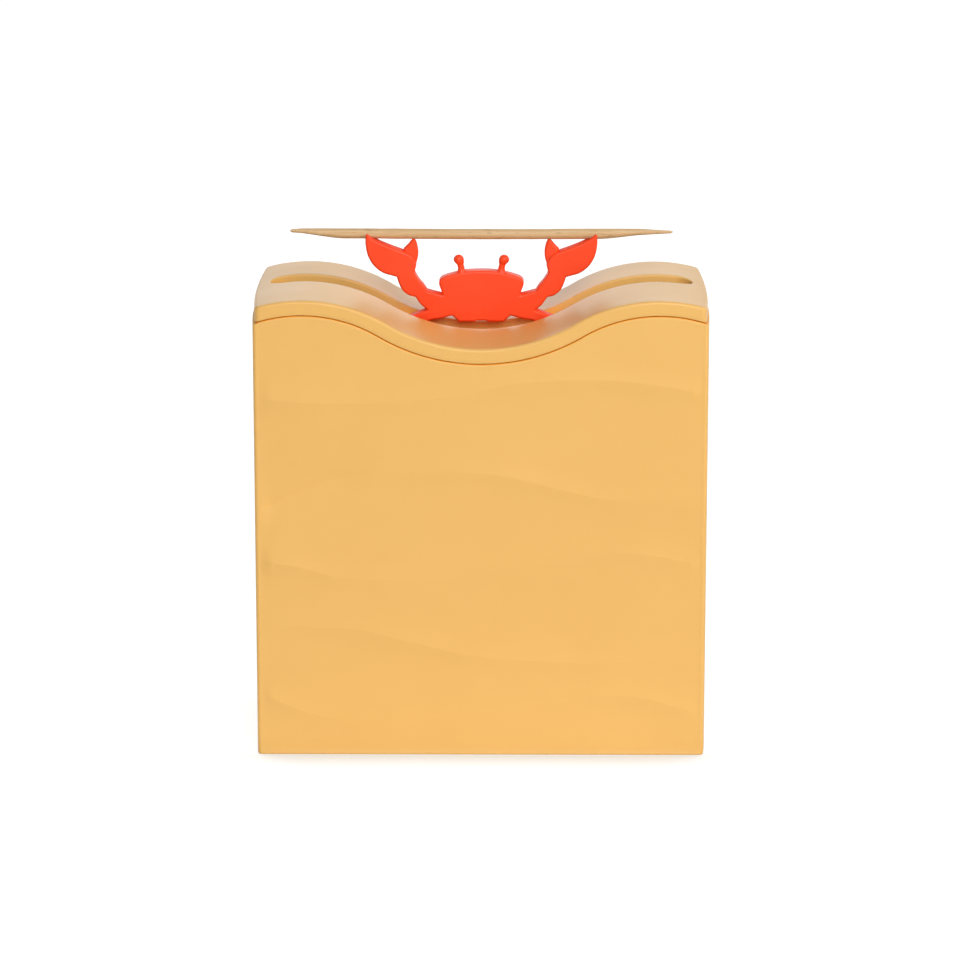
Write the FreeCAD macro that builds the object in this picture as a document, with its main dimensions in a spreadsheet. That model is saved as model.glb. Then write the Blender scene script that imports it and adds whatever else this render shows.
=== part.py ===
import FreeCAD, Part
import math
import os

import Sketcher

V = FreeCAD.Vector

# Driving dimensions in millimetres and degrees. X runs along the long side of the case, Y from
# the front face to the back, Z up from the surface that the dispenser stands on.
SIZES = (
    ("case_width", 75.7, "length of the straight front face"),
    ("case_depth", 35.4, "front face to back face"),
    ("case_wall", 1.6, "wall at the front, at the back and at the corners"),
    ("end_bulge", 0.7, "how far each short end swells outward in plan"),
    ("corner_radius", 0.9, "upright corners"),
    ("foot_round", 0.4, "rounding under the rim of the case"),
    ("crest_height", 76.1, "parting line at the top of a hump"),
    ("wave_depth", 8.2, "fall of the parting line from a crest to the saddle"),
    ("hump_spacing", 29.8, "each crest from the middle"),
    ("hump_radius", 24.9, "curve of the parting line over a hump"),
    ("lid_thickness", 2.6, "lid above the parting line"),
    ("lid_gap", 0.15, "shadow gap between case and lid"),
    ("lid_inset", 0.15, "lid inside the outline of the case, each side"),
    ("lid_round", 0.5, "rounding of the lid's upper rim"),
    ("skirt_drop", 3.4, "skirt below the lowest point of the parting line"),
    ("skirt_wall", 1.2, "thickness of the lid's skirt"),
    ("skirt_gap", 0.2, "skirt inside the case walls"),
    ("slot_margin", 1.95, "each end of the slot inside the end of the straight front face"),
    ("slot_width", 5.75, "slot in the lid, with full round ends"),
    ("slot_offset", 2.4, "middle of the slot behind the middle of the case"),
    ("slot_round", 0.3, "rounding of the slot's upper edge"),
    ("pick_diameter", 1.8, "toothpick"),
    ("pick_taper", 9.5, "tapered end of a toothpick"),
    ("pick_tip", 0.4, "diameter at a toothpick's tip"),
    ("pick_play", 0.04, "gap between toothpicks that lie together"),
    ("plate_thickness", 2.8, "crab and its stem"),
    ("claw_reach", 19.7, "crab's half width, at the claws"),
    ("figure_height", 15.2, "underside of the crab's body to its claw tips"),
    ("body_lift", 0.8, "crab's body above the saddle of the lid"),
    ("groove_depth", 1.1, "groove for the toothpick below the claw tips"),
    ("groove_play", 0.05, "groove round the toothpick"),
    ("pincer_recess", 0.5, "small pincer behind the face of the claw"),
    ("stem_half_width", 19.0, "stem below the crab"),
    ("stem_drop", 2.6, "top of the stem below the crab's body"),
    ("flange_thickness", 2.5, "foot of the stem"),
    ("flange_reach", 8.0, "foot of the stem in front of its plate"),
    ("trough_height", 42.0, "lowest line of the hopper's floor"),
    ("trough_slope", 30.0, "slope of the hopper's floor"),
    ("trough_gap", 0.3, "hopper slot beside the crab plate"),
    ("claw_gap", 0.6, "hopper slot beyond the claws"),
    ("tray_wall", 1.5, "hopper floor, measured upright"),
    ("tray_end", 1.0, "hopper end walls"),
    ("tray_top", 62.0, "top of the hopper end walls"),
    ("tray_gap", 0.25, "hopper inside the front and back walls"),
    ("pick_room", 0.5, "hopper beyond a toothpick's tips"),
    ("stock_top", 52.0, "highest toothpick axis in the stock"),
    ("lift_margin", 0.4, "lifted hopper floor below the toothpick in the claws"),
    ("shelf_top", 40.0, "shelves that carry the hopper"),
    ("shelf_thickness", 3.0, "shelves that carry the hopper"),
    ("shelf_width", 8.0, "shelves, along the case"),
    ("shelf_depth", 6.4, "shelves, out from the wall"),
    ("shelf_spacing", 26.0, "each shelf from the middle"),
    ("boss_diameter", 5.2, "screw bosses"),
    ("base_lift", 1.2, "underside of the base above the table"),
    ("cover_thickness", 1.5, "cover under the base"),
    ("base_top", 10.0, "top of the base"),
    ("base_deck", 2.0, "top wall of the base"),
    ("base_rim", 1.6, "side wall of the base"),
    ("base_gap", 0.4, "base inside the case"),
    ("ballast_end_inset", 9.85, "steel weight inside the ends of the base"),
    ("ballast_side_inset", 6.4, "steel weight inside the sides of the base"),
    ("ballast_thickness", 5.0, "steel weight"),
    ("boss_room", 0.5, "hole in the weight round a boss"),
    ("pad_diameter", 7.2, "rubber pads"),
    ("pad_recess", 0.5, "pads sunk into the cover"),
    ("pad_end_inset", 5.35, "middle of a pad inside the end of the base"),
    ("pad_side_inset", 4.9, "middle of a pad inside the side of the base"),
    ("rail_thickness", 1.5, "guide rails"),
    ("rail_width", 10.0, "guide rails, front to back"),
    ("rail_gap", 0.3, "guide rails beside what they slide on"),
    ("rail_room", 0.45, "guide rails inside the end walls of the case"),
    ("head_width", 14.0, "stop head on a rail, front to back"),
    ("head_height", 2.2, "stop head on a rail"),
    ("rail_foot_length", 8.8, "foot of a rail, along the case"),
    ("rail_foot_height", 4.0, "foot of a rail"),
    ("lug_height", 6.0, "stop lugs of the case"),
    ("lug_rest", 0.5, "stop lugs above the base at rest"),
    ("rib_width", 1.5, "upright ribs beside a rail's head"),
    ("stop_play", 0.2, "stroke left when the lugs are at the range's end"),
    ("screw_diameter", 2.2, "self-tapping screws"),
    ("screw_head", 4.2, "screw heads"),
    ("screw_head_height", 1.2, "screw heads"),
    ("screw_length", 5.0, "screws below their heads"),
    ("lifter_screw_spacing", 13.0, "screws through the stem's foot, from the middle"),
    ("cover_screw_spacing", 20.0, "cover screws from the middle, along the case"),
    ("cover_screw_inset", 3.3, "cover screws inside the edge of the base"),
    ("rail_screw_inset", 4.8, "rail screws inside the outer face of the rails"),
    ("recess_length", 2.8, "cross recess in a screw head"),
    ("recess_width", 0.6, "cross recess in a screw head"),
    ("recess_depth", 0.6, "cross recess in a screw head"),
    ("hole_play", 0.05, "pilot hole round a screw"),
    ("hole_room", 0.2, "clearance hole round a screw"),
    ("counterbore", 0.8, "cover screw heads sunk into the cover"),
)

doc = FreeCAD.newDocument("toothpick_dispenser")
sheet = doc.addObject("Spreadsheet::Sheet", "Sizes")
for row, (alias, amount, meaning) in enumerate(SIZES, start=1):
    sheet.set(f"A{row}", alias)
    sheet.set(f"B{row}", str(amount))
    sheet.set(f"C{row}", meaning)
    sheet.setAlias(f"B{row}", alias)
doc.recompute()


class Size:
    """A number together with the sheet expression that gives it."""

    def __init__(self, value, text):
        self.value = value
        self.text = text

    def __add__(self, other):
        other = as_size(other)
        return Size(self.value + other.value, f"({self.text} + {other.text})")

    def __sub__(self, other):
        other = as_size(other)
        return Size(self.value - other.value, f"({self.text} - {other.text})")

    def __mul__(self, other):
        other = as_size(other)
        return Size(self.value * other.value, f"({self.text} * {other.text})")

    def __truediv__(self, other):
        other = as_size(other)
        return Size(self.value / other.value, f"({self.text} / {other.text})")

    def __neg__(self):
        return Size(-self.value, f"(0 - {self.text})")

    def tangent(self):
        return Size(math.tan(math.radians(self.value)), f"tan({self.text})")


def as_size(thing):
    return thing if isinstance(thing, Size) else Size(float(thing), str(float(thing)))


def sheet_size(alias):
    return Size(float(getattr(sheet, alias)), f"Sizes.{alias}")


size = {alias: sheet_size(alias) for alias, amount, meaning in SIZES}
nodes = []

# Points closer than this lie on the same face.
TOUCH = 0.001

# Sizes that several pieces share. Along the case, everything that fits inside it is measured
# inward from its walls, down to the length of a toothpick.
half_width = size["case_width"] / 2
half_depth = size["case_depth"] / 2
inner_x = half_width - size["case_wall"]
inner_y = half_depth - size["case_wall"]
rail_outer = inner_x - size["rail_room"]
rail_inner = rail_outer - size["rail_thickness"]
tray_x = rail_inner - size["rail_gap"]
pick_end = tray_x - size["tray_end"] - size["pick_room"]
slot_end = half_width - size["slot_margin"]
saddle_height = size["crest_height"] - size["wave_depth"]
body_height = saddle_height + size["lid_thickness"] + size["body_lift"]
claw_height = body_height + size["figure_height"]
pick_radius = size["pick_diameter"] / 2
groove_height = claw_height - size["groove_depth"]
pick_height = groove_height + pick_radius
plate_front = size["slot_offset"] - size["plate_thickness"] / 2
plate_back = size["slot_offset"] + size["plate_thickness"] / 2
stroke = groove_height - size["lift_margin"] - size["trough_height"]
trough_front = plate_front - size["trough_gap"]
trough_back = plate_back + size["trough_gap"]
tray_y = inner_y - size["tray_gap"]
base_x = inner_x - size["base_gap"]
base_y = inner_y - size["base_gap"]
cover_top = size["base_lift"] + size["cover_thickness"]
cavity_top = size["base_top"] - size["base_deck"]
flange_front = plate_front - size["flange_reach"]
flange_top = size["base_top"] + size["flange_thickness"]
lifter_screw_y = (flange_front + plate_front) / 2
cover_screw_y = base_y - size["cover_screw_inset"]
pad_x = base_x - size["pad_end_inset"]
pad_y = base_y - size["pad_side_inset"]
boss_radius = size["boss_diameter"] / 2
screw_radius = size["screw_diameter"] / 2
pilot_radius = screw_radius + size["hole_play"]
clear_radius = screw_radius + size["hole_room"]
rail_screw_x = rail_outer - size["rail_screw_inset"]
lug_bottom = size["base_top"] + size["lug_rest"]
lug_top = lug_bottom + size["lug_height"]
head_bottom = lug_top + stroke + size["stop_play"]
rail_top = head_bottom + size["head_height"]
skirt_bottom = saddle_height - size["skirt_drop"]
shelf_y = inner_y - size["shelf_depth"] / 2
bury = size["case_wall"] / 2
above_all = size["crest_height"] * 2


# Sketches and features.

def bind(thing, path, amount):
    thing.setExpression(path, as_size(amount).text)


def new_body(name):
    body = doc.addObject("PartDesign::Body", name)
    body.Label = name
    nodes.append(body)
    return body


def new_sketch(body, name, plane, offset=0):
    sketch = body.newObject("Sketcher::SketchObject", f"{body.Name}_{name}")
    role = f"{plane}_Plane"
    support = next(item for item in body.Origin.OriginFeatures if item.Role == role)
    sketch.AttachmentSupport = [(support, "")]
    sketch.MapMode = "FlatFace"
    if isinstance(offset, Size):
        bind(sketch, "AttachmentOffset.Base.z", offset)
    return sketch


def number(thing):
    return as_size(thing).value


def hold(sketch, kind, amount, *where):
    """Add one dimension to a sketch and tie it to the sheet."""
    index = sketch.addConstraint(Sketcher.Constraint(kind, *where, number(amount)))
    name = f"d{index}"
    sketch.renameConstraint(index, name)
    bind(sketch, f"Constraints.{name}", amount)


def hold_point(sketch, geometry, point, x, y):
    """Fix a sketch point at (x, y). A bare 0 puts it on the axis."""
    for kind, amount, axis in (("DistanceX", x, -2), ("DistanceY", y, -1)):
        if isinstance(amount, Size):
            hold(sketch, kind, amount, -1, 1, geometry, point)
        else:
            sketch.addConstraint(Sketcher.Constraint("PointOnObject", geometry, point, axis))


def join_ends(sketch, first, first_point, second, second_point):
    sketch.addConstraint(Sketcher.Constraint("Coincident", first, first_point, second, second_point))


def add_line(sketch, start, end):
    spots = [V(number(x), number(y), 0) for x, y in (start, end)]
    return sketch.addGeometry(Part.LineSegment(*spots), False)


def add_polygon(sketch, corners):
    count = len(corners)
    lines = [add_line(sketch, corners[i], corners[(i + 1) % count]) for i in range(count)]
    for i, (x, y) in enumerate(corners):
        join_ends(sketch, lines[i], 2, lines[(i + 1) % count], 1)
        hold_point(sketch, lines[i], 1, x, y)


def add_rectangle(sketch, low_x, low_y, high_x, high_y):
    add_polygon(sketch, [(low_x, low_y), (high_x, low_y), (high_x, high_y), (low_x, high_y)])


def add_circle(sketch, x, y, radius):
    circle = Part.Circle(V(number(x), number(y), 0), V(0, 0, 1), number(radius))
    geometry = sketch.addGeometry(circle, False)
    hold_point(sketch, geometry, 3, x, y)
    hold(sketch, "Radius", radius, geometry)


def add_arc(sketch, x, y, radius, start, end):
    """Add an arc that runs anticlockwise between two angles in radians."""
    circle = Part.Circle(V(x, y, 0), V(0, 0, 1), radius)
    return sketch.addGeometry(Part.ArcOfCircle(circle, start, end), False)


def add_plan(sketch, half_x, half_y, bulge):
    """Plan of the case: straight front and back, short ends that swell as shallow arcs."""
    radius = (half_y * half_y + bulge * bulge) / (bulge * 2)
    centre = number(half_x + bulge - radius)
    swing = math.asin(number(half_y) / number(radius))
    front = add_line(sketch, (-half_x, -half_y), (half_x, -half_y))
    right = add_arc(sketch, centre, 0, number(radius), -swing, swing)
    back = add_line(sketch, (half_x, half_y), (-half_x, half_y))
    left = add_arc(sketch, -centre, 0, number(radius), math.pi - swing, math.pi + swing)
    loop = (front, right, back, left)
    for i in range(4):
        join_ends(sketch, loop[i], 2, loop[(i + 1) % 4], 1)
    hold_point(sketch, front, 1, -half_x, -half_y)
    hold_point(sketch, front, 2, half_x, -half_y)
    hold_point(sketch, back, 1, half_x, half_y)
    hold_point(sketch, back, 2, -half_x, half_y)
    for arc in (right, left):
        hold(sketch, "Radius", radius, arc)


def add_wave_region(sketch, offset, half_x, level):
    """Region between the wave, raised square to itself by offset, and a straight line at level."""
    hump_x = size["hump_spacing"]
    hump_z = size["crest_height"] - size["hump_radius"]
    hump_r = size["hump_radius"] + offset
    low = saddle_height + offset
    spread = number(hump_x)
    fall = number(size["wave_depth"])
    both_radii = (spread ** 2 + fall ** 2) / (2 * fall)
    saddle_r = both_radii - number(hump_r)
    saddle_z = number(low) + saddle_r
    lean = math.atan2(saddle_z - number(hump_z), spread)
    edge = math.acos((number(half_x) - spread) / number(hump_r))
    right = add_arc(sketch, spread, number(hump_z), number(hump_r), edge, math.pi - lean)
    saddle = add_arc(sketch, 0, saddle_z, saddle_r, math.pi + lean, 2 * math.pi - lean)
    left = add_arc(sketch, -spread, number(hump_z), number(hump_r), lean, math.pi - edge)
    for arc, side in ((right, 1), (left, -1)):
        hold_point(sketch, arc, 3, hump_x * side, hump_z)
        hold(sketch, "Radius", hump_r, arc)
    sketch.addConstraint(Sketcher.Constraint("Tangent", right, 2, saddle, 2))
    sketch.addConstraint(Sketcher.Constraint("Tangent", left, 1, saddle, 1))
    lowest = sketch.addGeometry(Part.Point(V(0, number(low), 0)), True)
    sketch.addConstraint(Sketcher.Constraint("PointOnObject", lowest, 1, saddle))
    hold_point(sketch, lowest, 1, 0, low)
    hold(sketch, "DistanceX", half_x, -1, 1, right, 1)
    hold(sketch, "DistanceX", -half_x, -1, 1, left, 2)
    end_z = number(hump_z) + number(hump_r) * math.sin(edge)
    up = add_line(sketch, (half_x, end_z), (half_x, level))
    across = add_line(sketch, (half_x, level), (-half_x, level))
    down = add_line(sketch, (-half_x, level), (-half_x, end_z))
    join_ends(sketch, up, 1, right, 1)
    join_ends(sketch, up, 2, across, 1)
    join_ends(sketch, across, 2, down, 1)
    join_ends(sketch, down, 2, left, 2)
    hold_point(sketch, up, 2, half_x, level)
    hold_point(sketch, across, 2, -half_x, level)


def add_slot(sketch, half_length, half_slot, middle):
    """Slot along X with full round ends."""
    straight = half_length - half_slot
    flat = number(straight)
    turn = number(half_slot)
    y = number(middle)
    front = add_line(sketch, (-straight, middle - half_slot), (straight, middle - half_slot))
    right = add_arc(sketch, flat, y, turn, -math.pi / 2, math.pi / 2)
    back = add_line(sketch, (straight, middle + half_slot), (-straight, middle + half_slot))
    left = add_arc(sketch, -flat, y, turn, math.pi / 2, 3 * math.pi / 2)
    loop = (front, right, back, left)
    for i in range(4):
        sketch.addConstraint(Sketcher.Constraint("Tangent", loop[i], 2, loop[(i + 1) % 4], 1))
    hold_point(sketch, right, 3, straight, middle)
    hold_point(sketch, left, 3, -straight, middle)
    hold(sketch, "Radius", half_slot, right)


def grow(body, sketch, length, side="One side", down=False):
    """Pad a sketch, and make sure that it adds material."""
    before = body.Shape.Volume if body.Tip else 0
    feature = body.newObject("PartDesign::Pad", f"{sketch.Name}_pad")
    feature.Profile = sketch
    feature.SideType = side
    feature.Reversed = down
    bind(feature, "Length", length)
    body.Tip = feature
    doc.recompute()
    if body.Shape.Volume <= before:
        raise RuntimeError(f"{feature.Name} adds nothing")
    return feature


def carve(body, sketch, length, side="Symmetric", up=False):
    """Pocket a sketch, and make sure that it removes material."""
    before = body.Shape.Volume
    feature = body.newObject("PartDesign::Pocket", f"{sketch.Name}_cut")
    feature.Profile = sketch
    feature.SideType = side
    feature.Reversed = up
    bind(feature, "Length", length)
    body.Tip = feature
    doc.recompute()
    if body.Shape.Volume >= before:
        raise RuntimeError(f"{feature.Name} cuts nothing")
    return feature


def round_edges(body, name, radius, chosen):
    """Round the edges of a body whose sample points all pass the test."""
    base = body.Tip
    names = []
    for i, edge in enumerate(base.Shape.Edges, start=1):
        if all(chosen(point) for point in edge.discretize(5)):
            names.append(f"Edge{i}")
    if not names:
        raise RuntimeError(f"{name} of {body.Name} finds no edge")
    feature = body.newObject("PartDesign::Fillet", f"{body.Name}_{name}")
    feature.Base = (base, names)
    bind(feature, "Radius", radius)
    body.Tip = feature
    doc.recompute()


def mirrored_places(x, y):
    """The four places (+-x, +-y)."""
    return [(x * i, y * j) for i in (-1, 1) for j in (-1, 1)]


def side_places(x, y):
    """The two places (+-x, y)."""
    return [(x * i, y) for i in (-1, 1)]


# Part primitives.

def move(thing, x=0, y=0, z=0):
    for axis, amount in (("x", x), ("y", y), ("z", z)):
        if isinstance(amount, Size):
            bind(thing, f"Placement.Base.{axis}", amount)


def make_box(name, low, high):
    box = doc.addObject("Part::Box", name)
    for prop, start, end in zip(("Length", "Width", "Height"), low, high):
        bind(box, prop, as_size(end) - start)
    move(box, *low)
    return box


def make_rod(name, radius, height, x, y, z):
    rod = doc.addObject("Part::Cylinder", name)
    bind(rod, "Radius", radius)
    bind(rod, "Height", height)
    move(rod, x, y, z)
    return rod


def fuse(name, shapes):
    joined = doc.addObject("Part::MultiFuse", name)
    joined.Shapes = shapes
    return joined


def cut(name, base, tool):
    result = doc.addObject("Part::Cut", name)
    result.Base = base
    result.Tool = tool
    return result


def keep_node(thing, name):
    thing.Label = name
    nodes.append(thing)


# Outer case: a tube with a wavy upper rim, open below.

def near_outer(point):
    past_x = abs(point.x) > inner_x.value + bury.value
    past_y = abs(point.y) > inner_y.value + bury.value
    return past_x or past_y


def make_case():
    body = new_body("case_shell")
    plan = new_sketch(body, "plan", "XY")
    add_plan(plan, half_width, half_depth, size["end_bulge"])
    grow(body, plan, size["crest_height"] + size["lid_thickness"])
    round_edges(body, "corners", size["corner_radius"], on_plan_corner(half_width, half_depth))

    bay = new_sketch(body, "bay", "XY")
    add_rectangle(bay, -inner_x, -inner_y, inner_x, inner_y)
    carve(body, bay, above_all * 2)

    wave = new_sketch(body, "wave", "XZ")
    add_wave_region(wave, as_size(0), half_width + size["end_bulge"] + bury, above_all)
    carve(body, wave, size["case_depth"] * 2)
    round_edges(body, "foot", size["foot_round"], lambda p: p.z < TOUCH and near_outer(p))

    shelves = new_sketch(body, "shelves", "XY", size["shelf_top"])
    for x, y in mirrored_places(size["shelf_spacing"], inner_y):
        side = 1 if y.value > 0 else -1
        edge = y - size["shelf_depth"] * side
        wall = y + bury * side
        low, high = (edge, wall) if side > 0 else (wall, edge)
        add_rectangle(shelves, x - size["shelf_width"] / 2, low, x + size["shelf_width"] / 2, high)
    grow(body, shelves, size["shelf_thickness"], down=True)

    shelf_holes = new_sketch(body, "shelf_holes", "XY", size["shelf_top"])
    for x, y in mirrored_places(size["shelf_spacing"], shelf_y):
        add_circle(shelf_holes, x, y, clear_radius)
    carve(body, shelf_holes, size["shelf_thickness"] * 3)

    guide = rail_outer + size["rail_gap"] - size["rail_thickness"]
    shaft = size["rail_width"] / 2 + size["rail_gap"]
    head = size["head_width"] / 2 + size["rail_gap"]
    rib = head + size["rib_width"]
    for name, start, top, inner, outer in (
        ("lugs", lug_bottom, lug_top, shaft, rib),
        ("ribs", lug_top, size["tray_top"], head, rib),
    ):
        sketch = new_sketch(body, name, "XY", start)
        for side in (-1, 1):
            low, high = (inner, outer) if side > 0 else (-outer, -inner)
            add_rectangle(sketch, guide, low, inner_x + bury, high)
            add_rectangle(sketch, -(inner_x + bury), low, -guide, high)
        grow(body, sketch, top - start)


def on_plan_corner(half_x, half_y):
    """Test for the upright edges where the front and back meet the ends."""
    def chosen(point):
        at_x = abs(abs(point.x) - half_x.value) < TOUCH
        at_y = abs(abs(point.y) - half_y.value) < TOUCH
        return at_x and at_y
    return chosen


# Lid: a wavy plate with a slot, and a skirt that drops inside the case.

def make_lid():
    body = new_body("lid")
    lid_x = half_width - size["lid_inset"]
    lid_y = half_depth - size["lid_inset"]
    reach = half_width + size["end_bulge"] + bury
    plan = new_sketch(body, "plan", "XY", skirt_bottom)
    add_plan(plan, lid_x, lid_y, size["end_bulge"])
    grow(body, plan, size["crest_height"] + size["lid_thickness"] * 2 - skirt_bottom)
    round_edges(body, "corners", size["corner_radius"], on_plan_corner(lid_x, lid_y))

    under = new_sketch(body, "under", "XZ")
    add_wave_region(under, size["lid_gap"], reach, as_size(0))
    carve(body, under, size["case_depth"] * 2)

    skirt = new_sketch(body, "skirt", "XY", skirt_bottom)
    skirt_x = inner_x - size["skirt_gap"]
    skirt_y = inner_y - size["skirt_gap"]
    hollow_x = skirt_x - size["skirt_wall"]
    hollow_y = skirt_y - size["skirt_wall"]
    add_rectangle(skirt, -skirt_x, -skirt_y, skirt_x, skirt_y)
    add_rectangle(skirt, -hollow_x, -hollow_y, hollow_x, hollow_y)
    grow(body, skirt, size["crest_height"] + size["lid_thickness"] * 2 - skirt_bottom)

    over = new_sketch(body, "over", "XZ")
    add_wave_region(over, size["lid_thickness"], reach, above_all)
    carve(body, over, size["case_depth"] * 2)

    slot = new_sketch(body, "slot", "XY")
    half_slot = size["slot_width"] / 2
    add_slot(slot, slot_end, half_slot, size["slot_offset"])
    carve(body, slot, above_all * 2)

    def on_top(point):
        return abs(point.z - wave_height(point.x, size["lid_thickness"].value)) < TOUCH

    def in_slot(point):
        beside = abs(point.y - size["slot_offset"].value) < half_slot.value + TOUCH
        return beside and abs(point.x) < slot_end.value + TOUCH

    round_edges(body, "slot_rim", size["slot_round"], lambda p: on_top(p) and in_slot(p))
    round_edges(body, "rim", size["lid_round"], lambda p: on_top(p) and near_outer(p))


def wave_height(x, offset):
    """Height of the wave, raised square to itself by offset."""
    spread = size["hump_spacing"].value
    fall = size["wave_depth"].value
    hump_r = size["hump_radius"].value + offset
    both_radii = (spread ** 2 + fall ** 2) / (2 * fall)
    saddle_r = both_radii - hump_r
    x = abs(x)
    if x * both_radii < spread * saddle_r:
        return saddle_height.value + offset + saddle_r - math.sqrt(saddle_r ** 2 - x ** 2)
    over = hump_r ** 2 - (x - spread) ** 2
    return size["crest_height"].value - size["hump_radius"].value + math.sqrt(over)


# Hopper: a trough that feeds toothpicks to the slot the claws rise through.

def trough_line(y):
    """Height of the hopper floor at a place in front of or behind its slot."""
    run = trough_front - y if y.value < trough_front.value else y - trough_back
    return size["trough_height"] + run * size["trough_slope"].tangent()


def make_tray():
    body = new_body("hopper_tray")
    floor = size["trough_height"]
    front_rise = trough_line(-tray_y)
    back_rise = trough_line(tray_y)
    wall = size["tray_wall"]
    shelf_top = size["shelf_top"]
    places = mirrored_places(size["shelf_spacing"], shelf_y)

    bosses = new_sketch(body, "bosses", "XY", shelf_top)
    for x, y in places:
        add_circle(bosses, x, y, boss_radius)
    slab = new_sketch(body, "slab", "YZ")
    add_polygon(slab, [
        (-tray_y, front_rise), (trough_front, floor), (trough_back, floor), (tray_y, back_rise),
        (tray_y, back_rise - wall), (trough_back, floor - wall),
        (trough_front, floor - wall), (-tray_y, front_rise - wall),
    ])
    grow(body, slab, tray_x * 2, "Symmetric")
    grow(body, bosses, front_rise + wall - shelf_top)
    above = new_sketch(body, "above", "YZ")
    add_polygon(above, [
        (-tray_y - wall, trough_line(-tray_y - wall)), (trough_front, floor), (trough_back, floor),
        (tray_y + wall, trough_line(tray_y + wall)), (tray_y + wall, above_all),
        (-tray_y - wall, above_all),
    ])
    carve(body, above, tray_x * 3)

    for name, start in (("left_end", -tray_x), ("right_end", tray_x - size["tray_end"])):
        end = new_sketch(body, name, "YZ", start)
        add_rectangle(end, -tray_y, floor - wall, tray_y, size["tray_top"])
        grow(body, end, size["tray_end"])

    slot = new_sketch(body, "slot", "XY")
    slot_x = size["claw_reach"] + size["claw_gap"]
    add_rectangle(slot, -slot_x, trough_front, slot_x, trough_back)
    carve(body, slot, above_all * 2)

    pilots = new_sketch(body, "pilots", "XY", shelf_top)
    for x, y in places:
        add_circle(pilots, x, y, pilot_radius)
    carve(body, pilots, size["screw_length"] - size["shelf_thickness"] / 2, "One side", up=True)


# Base: a shallow box inside the foot of the case, with its cover, weight and pads.

def make_base():
    body = new_body("base_plate")
    block = new_sketch(body, "block", "XY", cover_top)
    add_rectangle(block, -base_x, -base_y, base_x, base_y)
    grow(body, block, size["base_top"] - cover_top)

    cavity = new_sketch(body, "cavity", "XY", cover_top)
    cavity_x = base_x - size["base_rim"]
    cavity_y = base_y - size["base_rim"]
    add_rectangle(cavity, -cavity_x, -cavity_y, cavity_x, cavity_y)
    carve(body, cavity, cavity_top - cover_top, "One side", up=True)

    cover_places = mirrored_places(size["cover_screw_spacing"], cover_screw_y)
    lifter_places = side_places(size["lifter_screw_spacing"], lifter_screw_y)
    bosses = new_sketch(body, "bosses", "XY", cover_top)
    for x, y in cover_places + lifter_places:
        add_circle(bosses, x, y, boss_radius)
    grow(body, bosses, size["base_top"] - cover_top - size["base_deck"] / 2)

    cover_pilots = new_sketch(body, "cover_pilots", "XY", cover_top)
    for x, y in cover_places:
        add_circle(cover_pilots, x, y, pilot_radius)
    carve(body, cover_pilots, size["screw_length"], "One side", up=True)

    lifter_pilots = new_sketch(body, "lifter_pilots", "XY", size["base_top"])
    for x, y in lifter_places:
        add_circle(lifter_pilots, x, y, pilot_radius)
    carve(body, lifter_pilots, size["screw_length"], "One side")

    rail_holes = new_sketch(body, "rail_holes", "XY", size["base_top"])
    for x, y in side_places(rail_screw_x, 0):
        add_circle(rail_holes, x, y, clear_radius)
    carve(body, rail_holes, size["base_deck"] * 3)


def make_cover():
    body = new_body("base_cover")
    sheet_plan = new_sketch(body, "plan", "XY", size["base_lift"])
    add_rectangle(sheet_plan, -base_x, -base_y, base_x, base_y)
    grow(body, sheet_plan, size["cover_thickness"])

    recesses = new_sketch(body, "pad_recesses", "XY", size["base_lift"])
    for x, y in mirrored_places(pad_x, pad_y):
        add_circle(recesses, x, y, size["pad_diameter"] / 2 + size["hole_play"])
    carve(body, recesses, size["pad_recess"], "One side", up=True)

    places = mirrored_places(size["cover_screw_spacing"], cover_screw_y)
    counterbores = new_sketch(body, "counterbores", "XY", size["base_lift"])
    for x, y in places:
        add_circle(counterbores, x, y, size["screw_head"] / 2 + size["hole_room"])
    carve(body, counterbores, size["counterbore"], "One side", up=True)

    holes = new_sketch(body, "screw_holes", "XY", size["base_lift"])
    for x, y in places:
        add_circle(holes, x, y, clear_radius)
    carve(body, holes, size["cover_thickness"] * 3)


def make_ballast():
    body = new_body("ballast_plate")
    plan = new_sketch(body, "plan", "XY", cover_top)
    x = base_x - size["ballast_end_inset"]
    y = base_y - size["ballast_side_inset"]
    add_rectangle(plan, -x, -y, x, y)
    grow(body, plan, size["ballast_thickness"])
    rooms = new_sketch(body, "boss_rooms", "XY", cover_top)
    for place_x, place_y in side_places(size["lifter_screw_spacing"], lifter_screw_y):
        add_circle(rooms, place_x, place_y, boss_radius + size["boss_room"])
    carve(body, rooms, size["ballast_thickness"] * 3)


def make_pads():
    places = mirrored_places(pad_x, pad_y)
    names = ("front_left", "back_left", "front_right", "back_right")
    for name, (x, y) in zip(names, places):
        pad_height = size["base_lift"] + size["pad_recess"]
        pad = make_rod(f"foot_pad_{name}", size["pad_diameter"] / 2, pad_height, x, y, 0)
        keep_node(pad, f"foot_pad_{name}")


# Guide rails: upright strips on the base with a wide head that stops the case.

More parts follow.
